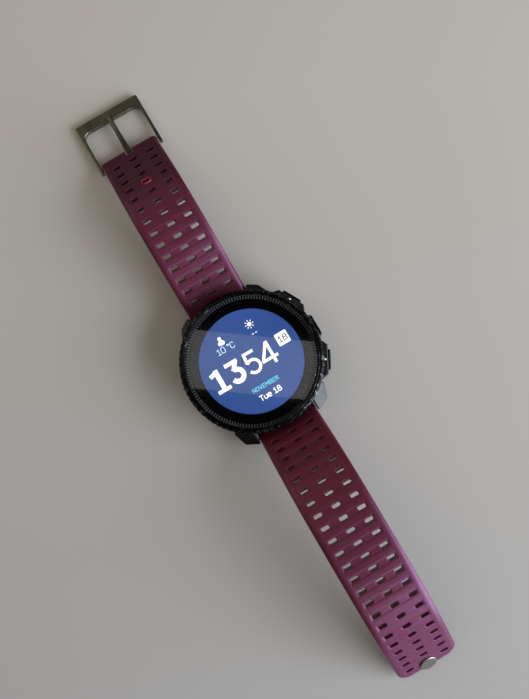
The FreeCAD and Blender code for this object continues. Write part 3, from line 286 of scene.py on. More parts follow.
def make_paints():
    """One finish for each material slot of the record."""
    return {
        "case_polymer": moulded("case_polymer", (0.007, 0.007, 0.008), 0.36, 0.2, 0.003),
        "bezel_metal": bezel_coating(),
        "crystal_glass": crystal_glass(),
        "window_glass": moulded("window_glass", (0.006, 0.006, 0.008), 0.12, 1.5, 0.001, coat_weight=1.0),
        "seal_rubber": moulded("seal_rubber", (0.012, 0.012, 0.012), 0.6),
        "tick_print": tick_print(),
        # Painted glint: these green marks glow though they are no lamp.
        "mark_paint": glowing("mark_paint", (0.75, 1.0, 0.6), 0.9),
        "solar_film": Paint("solar_film", (0.002, 0.002, 0.0025), 0.06),
        "display_glass": display_glow(),
        "inner_plastic": moulded("inner_plastic", (0.03, 0.03, 0.032), 0.5),
        "circuit_board": circuit_board(),
        "chip_resin": moulded("chip_resin", (0.015, 0.015, 0.016), 0.5),
        "shield_steel": metal("shield_steel", (0.55, 0.55, 0.55), 0.3, (1, 0.1, 1)),
        "battery_foil": metal("battery_foil", (0.62, 0.62, 0.64), 0.4),
        "contact_gold": metal("contact_gold", (0.75, 0.52, 0.2), 0.28),
        "button_metal": metal("button_metal", (0.02, 0.02, 0.023), 0.3, (1, 1, 0.1)),
        "spring_steel": metal("spring_steel", (0.5, 0.5, 0.5), 0.28, (0.1, 1, 1)),
        "strap_silicone": strap_silicone(),
        "buckle_metal": buckle_steel(),
        "stud_metal": metal("stud_metal", (0.33, 0.33, 0.31), 0.34),
    }


def dress_cad(paints):
    """Gives every CAD node the finish of its slot."""
    for part in frame["record"]["subparts"]:
        for slot in frame["nodes"][part["node"]].material_slots:
            slot.material = paints[part["material_slot"]].material


# ---- meshes ----

def new_piece(name, points, faces, paint, body, sharp=35.0, values=None):
    """A smooth-shaded mesh piece from points in millimetres, riding on a body where there is one.

    Edges sharper than the angle stay sharp, and values holds named amounts for every point.
    """
    mesh = bpy.data.meshes.new(name)
    mesh.from_pydata([tuple(float(part) * MM for part in point) for point in points], [], faces)
    for value_name, amounts in (values or {}).items():
        layer = mesh.attributes.new(value_name, "FLOAT", "POINT")
        layer.data.foreach_set("value", np.asarray(amounts, np.float32))
    mesh.validate()
    work = bmesh.new()
    work.from_mesh(mesh)
    bmesh.ops.remove_doubles(work, verts=work.verts, dist=0.002 * MM)
    bmesh.ops.recalc_face_normals(work, faces=work.faces)
    work.to_mesh(mesh)
    work.free()
    mesh.shade_smooth()
    mesh.set_sharp_from_angle(angle=math.radians(sharp))
    mesh.materials.append(paint.material)
    piece = bpy.data.objects.new(name, mesh)
    bpy.context.scene.collection.objects.link(piece)
    if body:
        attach(piece, body)
    return piece


def smooth(share):
    """0 to 1 with level ends."""
    share = np.clip(share, 0, 1)
    return share * share * (3 - 2 * share)


def round_over(distance, radius):
    """Height of a quarter-round edge, as a share of its radius, at a distance in from the edge."""
    share = 1 - np.clip(distance / radius, 0, 1)
    return np.sqrt(1 - share * share)


def outside_box(wide, long, corner):
    """Distance outside a rounded box, negative inside, from places measured from its corner's hub."""
    outside = np.hypot(np.maximum(wide, 0), np.maximum(long, 0))
    inside = np.minimum(np.maximum(wide, long), 0)
    return outside + inside - corner


# ---- strap halves ----

# "Across" runs from side to side, and "travel" along the band's centreline from its spring bar.
PIVOT_ALONG, PIVOT_HEIGHT = 23.8, 4.4  # the spring bar's place
HALF_WIDE, HALF_THICK = 11.0, 1.4
ROOT_RADIUS, ROOT_RUN = 2.35, 16.0  # barrel round the spring bar, and how far it takes to thin out
NOSE_RADIUS, NOSE_RUN = 1.85, 6.0  # the same round the buckle's pin
PITCH, COLUMN = 4.463, 6.67  # from one slot to the next, along and across
SLOT_HALF, SLOT_CORNER = (1.42, 0.66), 0.5
SLOT_EDGE = 0.2  # rounding of the slots' mouths
EDGE_ROUND, EDGE_WALL = 1.7, 0.36  # rounding of the outline, and the wall's share of the thickness
CHANNEL_DEEP = 0.07  # the shallow channel that each row of slots lies in
CHANNEL_FLOOR, CHANNEL_BANK = 1.0, 1.25  # from its middle to the foot and the top of its banks
CHANNEL_REACH, CHANNEL_FADE = 8.35, 0.3  # how far out it goes, and how it ends
BOSS_GROW, BOSS_BANK, BOSS_RISE = 0.62, 0.15, 0.3  # the raised rim round one slot
CROWN = 0.1
FAR_OFF = 1e3


class Path:
    """A strap's centreline in its side view: runs that are straight or tangent arcs."""

    def __init__(self, slope, spans):
        self.runs = []
        reach, height, travelled, start = PIVOT_ALONG, PIVOT_HEIGHT, 0.0, math.radians(slope)
        for length, end_slope in spans:
            end = math.radians(end_slope)
            self.runs.append((travelled, length, reach, height, start, end))
            step = self.step(np.array([length]), length, start, end)
            reach, height = reach + step[0][0], height + step[1][0]
            travelled, start = travelled + length, end

    @staticmethod
    def step(part, length, start, end):
        """How far a part of one run goes along and up."""
        bend = (end - start) / length
        if abs(bend) < 1e-9:
            return part * math.cos(start), part * math.sin(start)
        slope = start + bend * part
        return (np.sin(slope) - math.sin(start)) / bend, -(np.cos(slope) - math.cos(start)) / bend

    def at(self, travel, off):
        """Reach and height of points at a travel along the path, off to its upper side."""
        reach, height = np.zeros_like(travel), np.zeros_like(travel)
        for count, (begun, length, first_reach, first_height, start, end) in enumerate(self.runs):
            here = (travel >= begun) | (count == 0)
            part = travel[here] - begun
            along, up = self.step(part, length, start, end)
            slope = start + (end - start) / length * part
            reach[here] = first_reach + along - np.sin(slope) * off[here]
            height[here] = first_height + up + np.cos(slope) * off[here]
        return reach, height


class Half:
    """One strap half: its path, rows of slots, ends and raised or missing details.

    end is 1 towards 12 o'clock and -1 towards 6. A half without a tip corner ends in a nose round a pin.
    """

    def __init__(self, name, end, path, first_row, rows, stop, tip_corner=None, boss_row=None,
                 skip_last_middle=False):
        self.name, self.end, self.path, self.stop, self.tip_corner = name, end, path, stop, tip_corner
        self.rows = [first_row + count * PITCH for count in range(rows)]
        self.slots = [(column * COLUMN, row) for row in self.rows for column in (-1, 0, 1)]
        if skip_last_middle:
            self.slots.remove((0.0, self.rows[-1]))
        self.boss = None if boss_row is None else self.rows[boss_row]
        self.nose = tip_corner is None
        self.start = -ROOT_RADIUS
        self.finish = stop + (NOSE_RADIUS if self.nose else 0.0)

    def slot_distance(self, across, travel):
        """Distance from points to the nearest slot's edge, negative inside a slot."""
        nearest = np.full(across.shape, FAR_OFF)
        for slot_x, row in self.slots:
            near = np.abs(travel - row) < PITCH
            wide = np.abs(across[near] - slot_x) - (SLOT_HALF[0] - SLOT_CORNER)
            long = np.abs(travel[near] - row) - (SLOT_HALF[1] - SLOT_CORNER)
            nearest[near] = np.minimum(nearest[near], outside_box(wide, long, SLOT_CORNER))
        return nearest

    def edge_distance(self, across, travel):
        """Distance in from the outline: the sides, and a rounded tip where there is one."""
        if self.nose:
            return HALF_WIDE - np.abs(across)
        corner = self.tip_corner
        return -outside_box(np.abs(across) - (HALF_WIDE - corner), travel - (self.stop - corner), corner)

    def half_thickness(self, travel):
        """Half the band's thickness: a barrel at each pinned end that runs out into the band."""
        def barrel(away, radius, run):
            """Half thickness at a distance from a pin, round it and on into the band."""
            hub = np.sqrt(np.maximum(radius * radius - np.minimum(away, 0) ** 2, 0))
            taper = HALF_THICK + (radius - HALF_THICK) * np.clip(1 - away / run, 0, 1)
            return np.where(away < 0, hub, taper)

        thick = barrel(travel, ROOT_RADIUS, ROOT_RUN)
        if self.nose:
            thick = np.where(travel > self.stop / 2, barrel(self.stop - travel, NOSE_RADIUS, NOSE_RUN), thick)
        return thick

    def heights(self, across, travel):
        """Heights of the upper and lower faces over the band's middle."""
        rounding = EDGE_WALL + (1 - EDGE_WALL) * round_over(self.edge_distance(across, travel), EDGE_ROUND)
        thick = self.half_thickness(travel) * rounding
        lip = SLOT_EDGE * (1 - round_over(self.slot_distance(across, travel), SLOT_EDGE))
        row_gap = np.min([np.abs(travel - row) for row in self.rows], axis=0)
        channel = 1 - smooth((row_gap - CHANNEL_FLOOR) / (CHANNEL_BANK - CHANNEL_FLOOR))
        channel = channel * (1 - smooth((np.abs(across) - CHANNEL_REACH) / CHANNEL_FADE)) * CHANNEL_DEEP
        crowned = thick > 1.0
        upper = thick - lip - channel - CROWN * (across / HALF_WIDE) ** 2 * crowned
        return upper + self.boss_share(across, travel) * (channel + BOSS_RISE), -(thick - lip)

    def boss_share(self, across, travel):
        """1 on the raised rim round the middle slot of the boss row, 0 away from it."""
        if self.boss is None:
            return np.zeros_like(across)
        wide = np.maximum(np.abs(across) - (SLOT_HALF[0] - SLOT_CORNER), 0)
        long = np.maximum(np.abs(travel - self.boss) - (SLOT_HALF[1] - SLOT_CORNER), 0)
        return 1 - smooth((np.hypot(wide, long) - SLOT_CORNER - BOSS_GROW + BOSS_BANK) / BOSS_BANK)

    def places(self, across, travel, off):
        """Points in the model's frame, off the band's middle by some height."""
        reach, height = self.path.at(travel, off)
        return np.column_stack([across, self.end * reach, height])


def short_half():
    """The half that carries the buckle."""
    path = Path(23.5, [(18.0, 23.5), (16.0, 4.3), (16.0, -29.1), (25.0, -38.7)])
    first, rows, pin_after = 5.2, 14, 5.12
    stop = first + (rows - 1) * PITCH + pin_after
    return Half("strap_buckle_side", 1, path, first, rows, stop, boss_row=10)


def long_half():
    """The half that ends in a rounded tip with a stud in place of the last row's middle slot."""
    path = Path(47.9, [(18.0, 42.2), (24.0, 3.3), (28.0, -12.3), (22.0, -45.7), (30.0, -45.7)])
    first, rows, stud_after, tip_after = 6.7, 23, 1.47, 2.91
    stop = first + (rows - 1) * PITCH + stud_after + tip_after
    return Half("strap_tip_side", -1, path, first, rows, stop, tip_corner=4.4, skip_last_middle=True)


def rounded_box(centre, half, corner, grow):
    """Points round a rounded rectangle that is grown evenly on every side."""
    points, per_corner = [], 5
    radius = corner + grow
    for quarter, (side, end) in enumerate(((1, 1), (-1, 1), (-1, -1), (1, -1))):
        hub = (centre[0] + side * (half[0] - corner), centre[1] + end * (half[1] - corner))
        for count in range(per_corner + 1):
            angle = math.radians(90 * (quarter + count / per_corner))
            points.append((hub[0] + radius * math.cos(angle), hub[1] + radius * math.sin(angle)))
    return points


def split_sides(loop, longest):
    """The same loop with extra points, so that no side is longer than asked."""
    points = []
    for first, second in zip(loop, loop[1:] + loop[:1]):
        pieces = max(1, math.ceil(math.dist(first, second) / longest))
        step_x, step_y = second[0] - first[0], second[1] - first[1]
        points += [(first[0] + step_x * count / pieces, first[1] + step_y * count / pieces)
                   for count in range(pieces)]
    return points


def travel_lines(half):
    """Where the band's mesh has lines across it: level steps between rows, and close ones at the ends."""
    offsets = (0.0, 0.5, CHANNEL_FLOOR, (CHANNEL_FLOOR + CHANNEL_BANK) / 2, CHANNEL_BANK, 1.75, PITCH / 2)
    lines = {round(row + side * offset, 4) for row in half.rows for offset in offsets for side in (1, -1)}
    spacing, clear = 0.6, 0.2
    before = np.arange(0.0, half.rows[0] - PITCH / 2 - clear, spacing)
    last = half.stop if half.nose else half.stop - 2 * spacing
    after = np.arange(half.rows[-1] + PITCH / 2 + 2 * clear, last - clear, spacing)
    lines |= {round(float(line), 4) for line in (*before, *after)}
    barrel_steps = 10
    for count in range(barrel_steps):
        turn = math.sin(math.radians(90 * (count + 1) / barrel_steps))
        lines.add(round(-ROOT_RADIUS * turn, 4))
        if half.nose:
            lines.add(round(half.stop + NOSE_RADIUS * turn, 4))
    if half.nose:
        lines.add(half.stop)
    return sorted(line for line in lines if half.start <= line <= half.finish)


def flat_mesh(half):
    """The half laid flat: points (across, travel) and triangles, with every slot left open."""
    insets = (0.0, 0.03, 0.1, 0.22, 0.4, 0.65, 1.0, 1.35, EDGE_ROUND)
    loop_spacing, clear_of_slot, clear_of_tip = 0.75, 0.09, 0.15
    middle = np.linspace(-8.9, 8.9, 23)
    fades = [CHANNEL_REACH + share * CHANNEL_FADE for share in (0, 0.5, 1)]
    columns = sorted({*middle, *fades, *(-fade for fade in fades)})
    columns += [side * (HALF_WIDE - inset) for inset in insets for side in (1, -1)]
    across, travel = (part.ravel() for part in np.meshgrid(columns, travel_lines(half)))
    keep = half.slot_distance(across, travel) > SLOT_EDGE + clear_of_slot
    keep &= half.boss_share(across, travel) == 0
    if not half.nose:
        in_tip = travel > half.stop - half.tip_corner
        keep &= ~in_tip | (half.edge_distance(across, travel) > EDGE_ROUND + clear_of_tip)
    points = [tuple(point) for point in np.column_stack([across, travel])[keep]]
    edges = []

    def add_loop(loop, closed=True):
        """Adds a line of places that the triangles keep as edges."""
        first, count = len(points), len(loop)
        points.extend(loop)
        sides = count if closed else count - 1
        edges.extend((first + step, first + (step + 1) % count) for step in range(sides))

    for slot in half.slots:
        grows = (0.0, 0.05, 0.12, SLOT_EDGE)
        if slot == (0.0, half.boss):
            grows += (BOSS_GROW - BOSS_BANK, BOSS_GROW - 0.08, BOSS_GROW)
        for grow in grows:
            add_loop(split_sides(rounded_box(slot, SLOT_HALF, SLOT_CORNER, grow), loop_spacing))
    if not half.nose:
        hub_x, hub_y = HALF_WIDE - half.tip_corner, half.stop - half.tip_corner
        turns = [math.radians(9 * count) for count in range(11)]
        for inset in insets:
            corner = half.tip_corner - inset
            right = [(hub_x + corner * math.cos(turn), hub_y + corner * math.sin(turn)) for turn in turns]
            left = [(-across, travel) for across, travel in reversed(right)]
            end = [(float(across), half.stop - inset) for across in np.linspace(hub_x, -hub_x, 22)[1:-1]]
            add_loop(right + end + left, closed=False)
    merge_within = 1e-5
    flat, _, triangles, *_ = delaunay_2d_cdt([Vector(point) for point in points], edges, [], 0, merge_within)
    flat = np.array([tuple(point) for point in flat])
    triangles = np.array([tuple(triangle) for triangle in triangles])
    centres = flat[triangles].mean(axis=1)
    solid = half.slot_distance(centres[:, 0], centres[:, 1]) > 0
    solid &= half.edge_distance(centres[:, 0], centres[:, 1]) > 0
    return flat, triangles[solid]


def strap_shell(half):
    """The half's closed surface: upper and lower faces, and walls along the outline and the slots."""
    flat, triangles = flat_mesh(half)
    across, travel = flat[:, 0], flat[:, 1]
    upper, lower = half.heights(across, travel)
    points = np.vstack([half.places(across, travel, upper), half.places(across, travel, lower)])
    count = len(flat)
    faces = [tuple(int(corner) for corner in triangle) for triangle in triangles]
    faces += [tuple(int(corner) + count for corner in reversed(triangle)) for triangle in triangles]
    rims = {}
    for triangle in triangles:
        for step in range(3):
            first, second = int(triangle[step]), int(triangle[(step + 1) % 3])
            side = frozenset((first, second))
            rims[side] = None if side in rims else (first, second)
    faces += [(second, first, first + count, second + count) for first, second in filter(None, rims.values())]
    ring = np.concatenate([half.boss_share(across, travel), np.zeros(count)])
    return points, faces, ring


def cutter(name, points, faces):
    """A hidden piece to cut others with."""
    piece = new_piece(name, points, faces, paints["strap_silicone"], None)
    piece.hide_render = True
    return piece


def carve(piece, tools):
    """Cuts tools out of a piece and removes them."""
    for tool in tools:
        change = piece.modifiers.new("carve", "BOOLEAN")
        change.operation = "DIFFERENCE"
        change.solver = "EXACT"
        change.object = tool
    bpy.context.view_layer.update()
    shaped = bpy.data.meshes.new_from_object(piece.evaluated_get(bpy.context.evaluated_depsgraph_get()))
    shaped.name = piece.data.name
    piece.modifiers.clear()
    piece.data = shaped
    for tool in tools:
        bpy.data.objects.remove(tool)


def box_tool(half, name, travel, low, high):
    """A cutting box set on the path, from (across, along, up) to (across, along, up)."""
    across, along, up = np.array([(across, along, up) for up in (low[2], high[2])
                                  for along in (low[1], high[1]) for across in (low[0], high[0])]).T
    reaches, heights = half.path.at(np.array([travel, travel + 0.01]), np.zeros(2))
    slope = math.atan2(heights[1] - heights[0], reaches[1] - reaches[0])
    reach = reaches[0] + along * math.cos(slope) - up * math.sin(slope)
    height = heights[0] + along * math.sin(slope) + up * math.cos(slope)
    faces = [(0, 1, 3, 2), (4, 6, 7, 5), (0, 4, 5, 1), (2, 3, 7, 6), (0, 2, 6, 4), (1, 5, 7, 3)]
    return cutter(name, np.column_stack([across, half.end * reach, height]), faces)


def rod_tool(half, name, travel, radius):
    """A cutting rod across the strap."""
    reach, height = half.path.at(np.array([travel]), np.array([0.0]))
    sides = 32
    ring = [(radius * math.cos(math.tau * count / sides), radius * math.sin(math.tau * count / sides))
            for count in range(sides)]
    points = [(side * (HALF_WIDE + 1), half.end * reach[0] + along, height[0] + up)
              for side in (-1, 1) for along, up in ring]
    faces = [(count, (count + 1) % sides, sides + (count + 1) % sides, sides + count)
             for count in range(sides)]
    faces += [tuple(range(sides)), tuple(range(sides, 2 * sides))]
    return cutter(name, points, faces)


def make_strap(half, body, node):
    """One strap half with its bores and notches, in place of its CAD node."""
    bar_bore, pin_bore, beyond = 1.0, 0.72, 5
    lever_middle, lever_half, lever_back, lever_ahead = -6.95, 2.2, 1.3, 1.7
    notch_half, notch_back = 1.4, 2.0
    points, faces, ring = strap_shell(half)
    piece = new_piece(half.name, points, faces, paints["strap_silicone"], body, 50.0,
                      {"ring": ring})
    tools = [rod_tool(half, "bar_bore", 0.0, bar_bore),
             box_tool(half, "lever_notch", 0.0, (lever_middle - lever_half, -lever_back, -beyond),
                      (lever_middle + lever_half, lever_ahead, 0))]
    if half.nose:
        tools += [rod_tool(half, "pin_bore", half.stop, pin_bore),
                  box_tool(half, "tongue_notch", half.stop, (-notch_half, -notch_back, -beyond),
                           (notch_half, beyond + 1, beyond))]
    carve(piece, tools)
    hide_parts(node)


# ---- bezel ----

def bezel_profile():
    """Radius, height, wear and share of the notches round the bezel's section.

    It runs from the seat outwards and up, in over the top with its fine groove, and down round the crystal.
    """
    low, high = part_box("bezel_ring")
    outer, seat, top = high.x / MM, low.z / MM, high.z / MM
    bore, shelf, mouth = 21.75, 11.3, 22.5
    return [
        (bore, seat, 0, 0), (outer - 0.75, seat, 0, 0), (outer - 0.42, seat + 0.3, 0, 0),
        (outer - 0.22, seat + 0.62, 0, 0), (outer - 0.1, seat + 0.72, 0.5, 0), (outer, seat + 0.85, 0.6, 0.6),
        (outer, seat + 1.1, 0.2, 1), (outer, seat + 2.0, 0, 1), (outer, seat + 2.9, 0.2, 1),
        (outer - 0.02, top - 0.78, 0.9, 1), (outer - 0.1, top - 0.68, 1, 1),
        (outer - 0.22, top - 0.6, 0.5, 0.9), (outer - 0.5, top - 0.34, 0.1, 0.55),
        (outer - 0.68, top - 0.16, 0.3, 0.2), (outer - 0.76, top - 0.07, 0.8, 0),
        (outer - 0.84, top - 0.02, 0.6, 0), (outer - 0.95, top, 0.15, 0), (outer - 1.35, top, 0, 0),
        (outer - 1.42, top - 0.08, 0.1, 0), (outer - 1.5, top - 0.1, 0, 0),
        (outer - 1.58, top - 0.08, 0.1, 0), (outer - 1.64, top, 0.3, 0), (mouth + 0.18, top, 0.2, 0),
        (mouth + 0.07, top - 0.03, 0.5, 0), (mouth + 0.02, top - 0.12, 0.3, 0), (mouth, top - 0.6, 0, 0),
        (mouth, shelf, 0, 0), (bore, shelf, 0, 0),
    ]


def make_bezel():
    """The turned bezel with its fine notches, and a wear value where its edges are rubbed."""
    notches, per_notch, depth = 72, 12, 0.16
    notch_lip = 0.62
    profile = bezel_profile()
    around = notches * per_notch
    points, wear = [], []
    for count in range(around):
        turn = math.tau * count / around
        share = 0.5 + 0.5 * math.cos(math.tau * count / per_notch)
        bite = float(smooth((share - notch_lip) / 0.3))
        lip = math.exp(-((share - notch_lip) / 0.14) ** 2)
        for radius, height, rubbed, notched in profile:
            reach = radius - depth * bite * notched
            points.append((reach * math.cos(turn), reach * math.sin(turn), height))
            wear.append(min(1.0, rubbed * (1 - 0.6 * bite * notched) + 0.45 * lip * notched * rubbed))
    ring = len(profile)
    faces = [(count * ring + step, (count + 1) % around * ring + step,
              (count + 1) % around * ring + (step + 1) % ring, count * ring + (step + 1) % ring)
             for count in range(around) for step in range(ring)]
    piece = new_piece("bezel", points, faces, paints["bezel_metal"], "case", 60.0,
                      {"wear": wear})
    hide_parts("bezel_ring")


# ---- display ----

def disc(across, along, radius, stretch=1.0):
    """A round or upright oval spot."""
    sides = 28
    turns = math.tau * np.arange(sides) / sides
    ring = np.column_stack([across + radius * np.cos(turns), along + radius * stretch * np.sin(turns)])
    return ring, [tuple(range(sides))]


def stroke(points, thick):
    """A ribbon of even width along a line of places."""
    line = np.array(points, float)
    runs = np.diff(line, axis=0)
    sides = np.column_stack([-runs[:, 1], runs[:, 0]]) / np.hypot(*runs.T)[:, None]
    mitres = np.vstack([sides[:1], (sides[:-1] + sides[1:]) / 2, sides[-1:]])
    mitres *= (thick / 2 / (mitres ** 2).sum(axis=1))[:, None]
    count = len(line)
    faces = [(step, step + 1, count + step + 1, count + step) for step in range(count - 1)]
    return np.vstack([line + mitres, line - mitres]), faces


# Each sign as lines of places on a grid 4 wide and 6 high.
LETTERS = {
    " ": [],
    "0": [[(1, 0), (0, 1), (0, 5), (1, 6), (3, 6), (4, 5), (4, 1), (3, 0), (1, 0)]],
    "1": [[(0.5, 4.6), (2.1, 6), (2.1, 0)], [(0.5, 0), (3.7, 0)]],
    "8": [[(1, 3.2), (0.3, 4), (0.3, 5.2), (1, 6), (3, 6), (3.7, 5.2), (3.7, 4), (3, 3.2), (1, 3.2),
           (0, 2.3), (0, 0.9), (1, 0), (3, 0), (4, 0.9), (4, 2.3), (3, 3.2)]],
    "B": [[(0, 0), (0, 6), (2.8, 6), (3.7, 5.2), (3.7, 4), (2.8, 3.2), (4, 2.2), (4, 0.9), (3, 0), (0, 0)],
          [(0, 3.2), (2.8, 3.2)]],
    "C": [[(4, 4.8), (3, 6), (1, 6), (0, 5), (0, 1), (1, 0), (3, 0), (4, 1.2)]],
    "E": [[(3.8, 6), (0, 6), (0, 0), (3.8, 0)], [(0, 3.1), (3.3, 3.1)]],
    "M": [[(0, 0), (0, 6), (2.2, 2.4), (4.4, 6), (4.4, 0)]],
    "N": [[(0, 0), (0, 6), (4, 0), (4, 6)]],
    "O": [[(1, 0), (0, 1), (0, 5), (1, 6), (3, 6), (4, 5), (4, 1), (3, 0), (1, 0)]],
    "R": [[(0, 0), (0, 6), (3, 6), (4, 5.1), (4, 3.9), (3, 3), (0, 3)], [(2.2, 3), (4, 0)]],
    "T": [[(0, 6), (4.2, 6)], [(2.1, 6), (2.1, 0)]],
    "V": [[(0, 6), (2, 0), (4, 6)]],
    "e": [[(0, 2.2), (3.6, 2.2), (3.6, 3.2), (2.8, 4.2), (1, 4.2), (0, 3.2), (0, 1), (1, 0), (3.3, 0)]],
    "u": [[(0, 4.2), (0, 1), (0.9, 0), (2.6, 0), (3.4, 0.9)], [(3.4, 4.2), (3.4, 0)]],
    "°": [[(0, 5.3), (0.6, 6), (1.4, 6), (2, 5.3), (1.4, 4.6), (0.6, 4.6), (0, 5.3)]],
}


def lettering(words, across, along, tall, thick, gap):
    """Lettering in straight strokes, centred on a place; thick and gap are shares of its height."""
    unit, space, cap_share = tall / 6, 1.2, 0.4
    widths = [max((place[0] for line in LETTERS[letter] for place in line), default=space)
              for letter in words]
    start = across - (sum(widths) * unit + (len(words) - 1) * gap * tall) / 2
    shapes = []
    for letter, wide in zip(words, widths):
        for line in LETTERS[letter]:
            places = [np.array([start + x * unit, along + y * unit - tall / 2]) for x, y in line]
            for first, second in zip(places, places[1:]):
                cap = (second - first) / np.hypot(*(second - first)) * thick * tall * cap_share
                shapes.append(stroke([first - cap, second + cap], thick * tall))
        start += wide * unit + gap * tall
    return shapes


def curve(across, along, radius, start, stop):
    """Places along an arc, from one bearing to another in degrees."""
    turns = np.radians(np.linspace(start, stop, 25))
    return [(across + radius * math.cos(turn), along + radius * math.sin(turn)) for turn in turns]


def lit_marks(name, shapes, paint, level):
    """One lit piece made of flat shapes at a height over the display."""
    points, faces = [], []
    for outline, polygons in shapes:
        faces += [tuple(corner + len(points) for corner in polygon) for polygon in polygons]
        points += [(across, along, level) for across, along in outline]
    new_piece(name, points, faces, paint, "case")


def time_digits():
    """The hour in heavy strokes and the minutes in light ones, as places across and along the dial."""
    heavy, light = 1.65, 1.02
    top, foot = 3.55, -4.5
    one, four = -12.35, 7.25
    one_strokes = [
        stroke([(one, top), (one, foot)], heavy),
        stroke([(one - 2.5, 2.0), (one, 2.75)], heavy * 0.85),
        stroke([(one - 2.6, foot + 0.6), (one + 2.3, foot + 0.6)], heavy * 0.75),
    ]
    three_strokes = [
        stroke([(-9.0, top - 0.65), (-4.2, top - 0.65)], heavy * 0.8),
        stroke([(-4.75, top - 0.5), (-6.95, 0.05)], heavy * 0.9),
        stroke(curve(-6.35, -1.8, 2.05, 105, -160), heavy),
    ]
    five_strokes = [
        stroke([(-1.75, top - light / 2), (2.1, top - light / 2)], light),
        stroke([(-1.4, top), (-1.75, -0.25)], light),
        stroke(curve(-0.1, -1.85, 2.25, 138, -150), light),
    ]
    four_strokes = [
        stroke([(four, top), (four, foot)], light),
        stroke([(four - 0.1, top - 0.2), (3.35, -2.3)], light),
        stroke([(2.95, -2.35), (9.0, -2.35)], light),
    ]
    return one_strokes + three_strokes + five_strokes + four_strokes


def weather_marks():
    """A sun over two dashes, and a small cloud with a second puff on top."""
    sun, ray_in, ray_out, rays = np.array([5.6, 11.2]), 1.0, 1.6, 8
    marks = [disc(*sun, 0.72)]
    for turn in math.tau * np.arange(rays) / rays:
        aim = np.array([np.cos(turn), np.sin(turn)])
        marks.append(stroke([sun + aim * ray_in, sun + aim * ray_out], 0.27))
    marks += [stroke([(left, 7.7), (left + 0.7, 7.7)], 0.3) for left in (4.7, 5.9)]
    across, along = -5.7, 10.35
    marks += [disc(across - 0.55, along, 0.72), disc(across + 0.6, along, 0.62),
              disc(across, along + 0.35, 0.8),
              stroke([(across - 0.9, along - 0.5), (across + 0.9, along - 0.5)], 0.45),
              disc(across + 0.05, along + 1.75, 0.6, stretch=0.85),
              stroke([(across - 0.6, along + 1.35), (across + 0.6, along + 1.35)], 0.4)]
    return marks


def make_display():
    """Generic read-outs: the time, a temperature, a calendar day, the month and the weekday."""
    lift = 0.03
    level = top_of("display_panel") + lift
    white, cyan = glowing("lit_white", (1.0, 1.0, 1.0), 1.35), glowing("lit_cyan", (0.1, 0.6, 0.78), 1.7)
    pale, grey = glowing("lit_pale", (0.5, 0.8, 1.0), 1.3), glowing("lit_grey", (0.05, 0.06, 0.06), 1.0)
    marks = time_digits() + weather_marks() + lettering("Tue 18", 0.1, -12.5, 1.7, 0.2, 0.26)
    lit_marks("readout_white", marks, white, level)
    lit_marks("readout_month", lettering("NOVEMBER", 0.15, -9.15, 1.34, 0.14, 0.28), cyan, level)
    lit_marks("readout_temperature", lettering("10 °C", -5.45, 8.05, 1.95, 0.13, 0.2), pale, level)
    day_place = (12.9, 1.5)
    card = rounded_box(day_place, (2.2, 2.2), 0.45, 0.0)
    lit_marks("readout_day_card", [(card, [tuple(range(len(card)))])], white, level)
    lit_marks("readout_day", lettering("18", *day_place, 1.95, 0.16, 0.3), grey, level + lift)


# ---- stage, light and camera ----

def make_floor():
    """A plain pale table top with painted shade: a shade cooler and darker towards the strap's tip."""
    paint = Paint("table_top", (0.41, 0.39, 0.37), 0.6, specular_level=0.2)
    painted_shade_end, painted_light_end = -150 * MM, 100 * MM
    drift = paint.noise(120.0, 3.0)
    warm = paint.blend(drift, (0.45, 0.418, 0.375), (0.465, 0.432, 0.39))
    cool = paint.blend(drift, (0.345, 0.333, 0.325), (0.355, 0.343, 0.335))
    # Painted shade: the table's colour runs from a cooler, darker tone towards the strap's tip to a warmer,
    # lighter one towards the buckle.
    share = paint.remap(paint.along((0.5, 0.86, 0.0)), painted_shade_end, painted_light_end)
    paint.colour(paint.blend(share, cool, warm))
    reach = 3000.0  # far past the edge of every view
    corners = [(-reach, -reach, 0), (reach, -reach, 0), (reach, reach, 0), (-reach, reach, 0)]
    floor = new_piece("table", corners, [(0, 1, 2, 3)], paint, None)


# The camera's place, and which way the picture's right side, its top and the camera's back point.
IMAGE_RIGHT = Vector((0.86274023, -0.5048404, -0.0285564))
IMAGE_UP = Vector((0.50518652, 0.85816752, 0.09129668))
TOWARDS_EYE = Vector((-0.02158408, -0.09319163, 0.99541421))
EYE = Vector((-0.8073, -27.0534, 313.5708)) * MM


def area_light(name, wide, high, glow, colour):
    """A rectangular light that faces down until it is turned; glow is its radiance."""
    lamp = bpy.data.lights.new(name, "AREA")
    lamp.shape, lamp.size, lamp.size_y = "RECTANGLE", wide, high
    lamp.energy, lamp.color = glow * math.pi * wide * high, colour
    light = bpy.data.objects.new(name, lamp)
    bpy.context.scene.collection.objects.link(light)
    return light


def face_watch(light, side, distance):
    """Stands a light at a distance to one side of the watch, facing it."""
    side = side.normalized()
    light.location = side * distance
    light.rotation_mode = "QUATERNION"
    light.rotation_quaternion = (-side).to_track_quat("-Z", "Y")


def spare_from(light, node):
    """Keeps one CAD node out of a light, so that its glass doesn't mirror that light."""
    spared = bpy.data.collections.new("spared")
    spared.objects.link(frame["nodes"][node])
    spared.collection_objects[0].light_linking.link_state = "EXCLUDE"
    light.light_linking.receiver_collection = spared


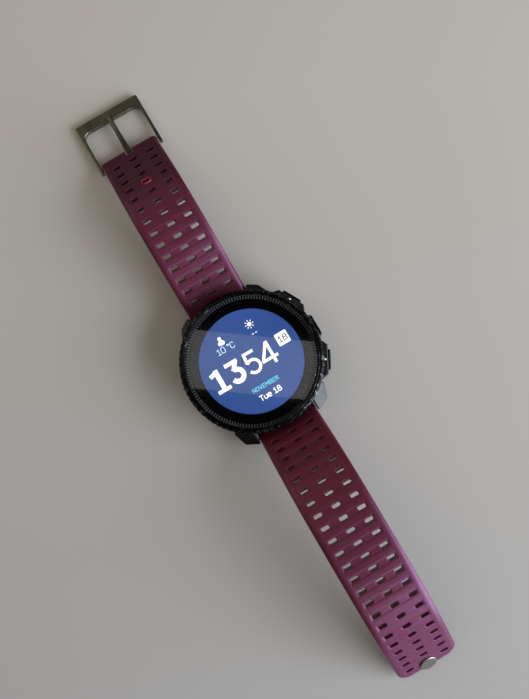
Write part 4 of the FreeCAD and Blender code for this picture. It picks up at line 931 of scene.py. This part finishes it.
def make_reflected_panel(right, ahead):
    """A dim panel overhead that the glass mirrors as a soft band across the dial."""
    height, shift, turn = 0.6, -1.6 * MM, math.radians(-6)
    panel = area_light("panel", 0.42, 0.058, 0.55, (1.0, 0.97, 0.95))
    beyond = height / (EYE.z - top_of("crystal") * MM)
    spot = ahead * shift
    panel.location = spot + (spot - Vector((EYE.x, EYE.y, 0))) * beyond + Vector((0, 0, height))
    panel.rotation_euler = (0, 0, math.atan2(right.y, right.x) + turn)
    panel.visible_diffuse = False


def make_lights():
    """A cool window to the right, a warm dim room to the left, a panel overhead, and even light all round."""
    up = Vector((0, 0, 1))
    right = Vector((IMAGE_RIGHT.x, IMAGE_RIGHT.y, 0)).normalized()
    ahead = Vector((IMAGE_UP.x, IMAGE_UP.y, 0)).normalized()
    window = area_light("window", 1.15, 0.8, 9.2, (0.83, 0.9, 1.0))
    face_watch(window, right * 1.0 - ahead * 0.35 + up * 0.45, 1.1)
    spare_from(window, "crystal")
    room = area_light("room", 1.2, 1.0, 0.8, (1.0, 0.86, 0.66))
    face_watch(room, -right * 0.9 + ahead * 0.5 + up * 0.8, 1.4)
    make_reflected_panel(right, ahead)
    world = bpy.data.worlds.new("room_light")
    bpy.context.scene.world = world
    world.use_nodes = True
    backdrop = world.node_tree.nodes["Background"]
    backdrop.inputs["Color"].default_value = (1.0, 0.955, 0.88, 1)
    backdrop.inputs["Strength"].default_value = 0.32
    world.cycles_visibility.glossy = False
    world.cycles_visibility.transmission = False


def make_camera():
    """Looks almost straight down, turned so that 12 o'clock points up and to the left."""
    lens, film = 46.35, 36.0
    camera = bpy.data.cameras.new("camera")
    camera.lens, camera.sensor_width = lens, film
    camera.clip_start = 0.01
    eye = bpy.data.objects.new("camera", camera)
    turn = Matrix((IMAGE_RIGHT, IMAGE_UP, TOWARDS_EYE)).transposed()
    eye.matrix_world = Matrix.Translation(EYE) @ turn.to_4x4()
    bpy.context.scene.collection.objects.link(eye)
    bpy.context.scene.camera = eye
    bpy.context.scene.view_settings.view_transform = "Standard"


paints = make_paints()
dress_cad(paints)
frame["nodes"]["crystal"].visible_shadow = False  # clear glass doesn't shade the dial
make_strap(short_half(), "strap_short", "strap_short")
make_strap(long_half(), "strap_long", "strap_long")
make_bezel()
make_display()
make_floor()
make_lights()
make_camera()
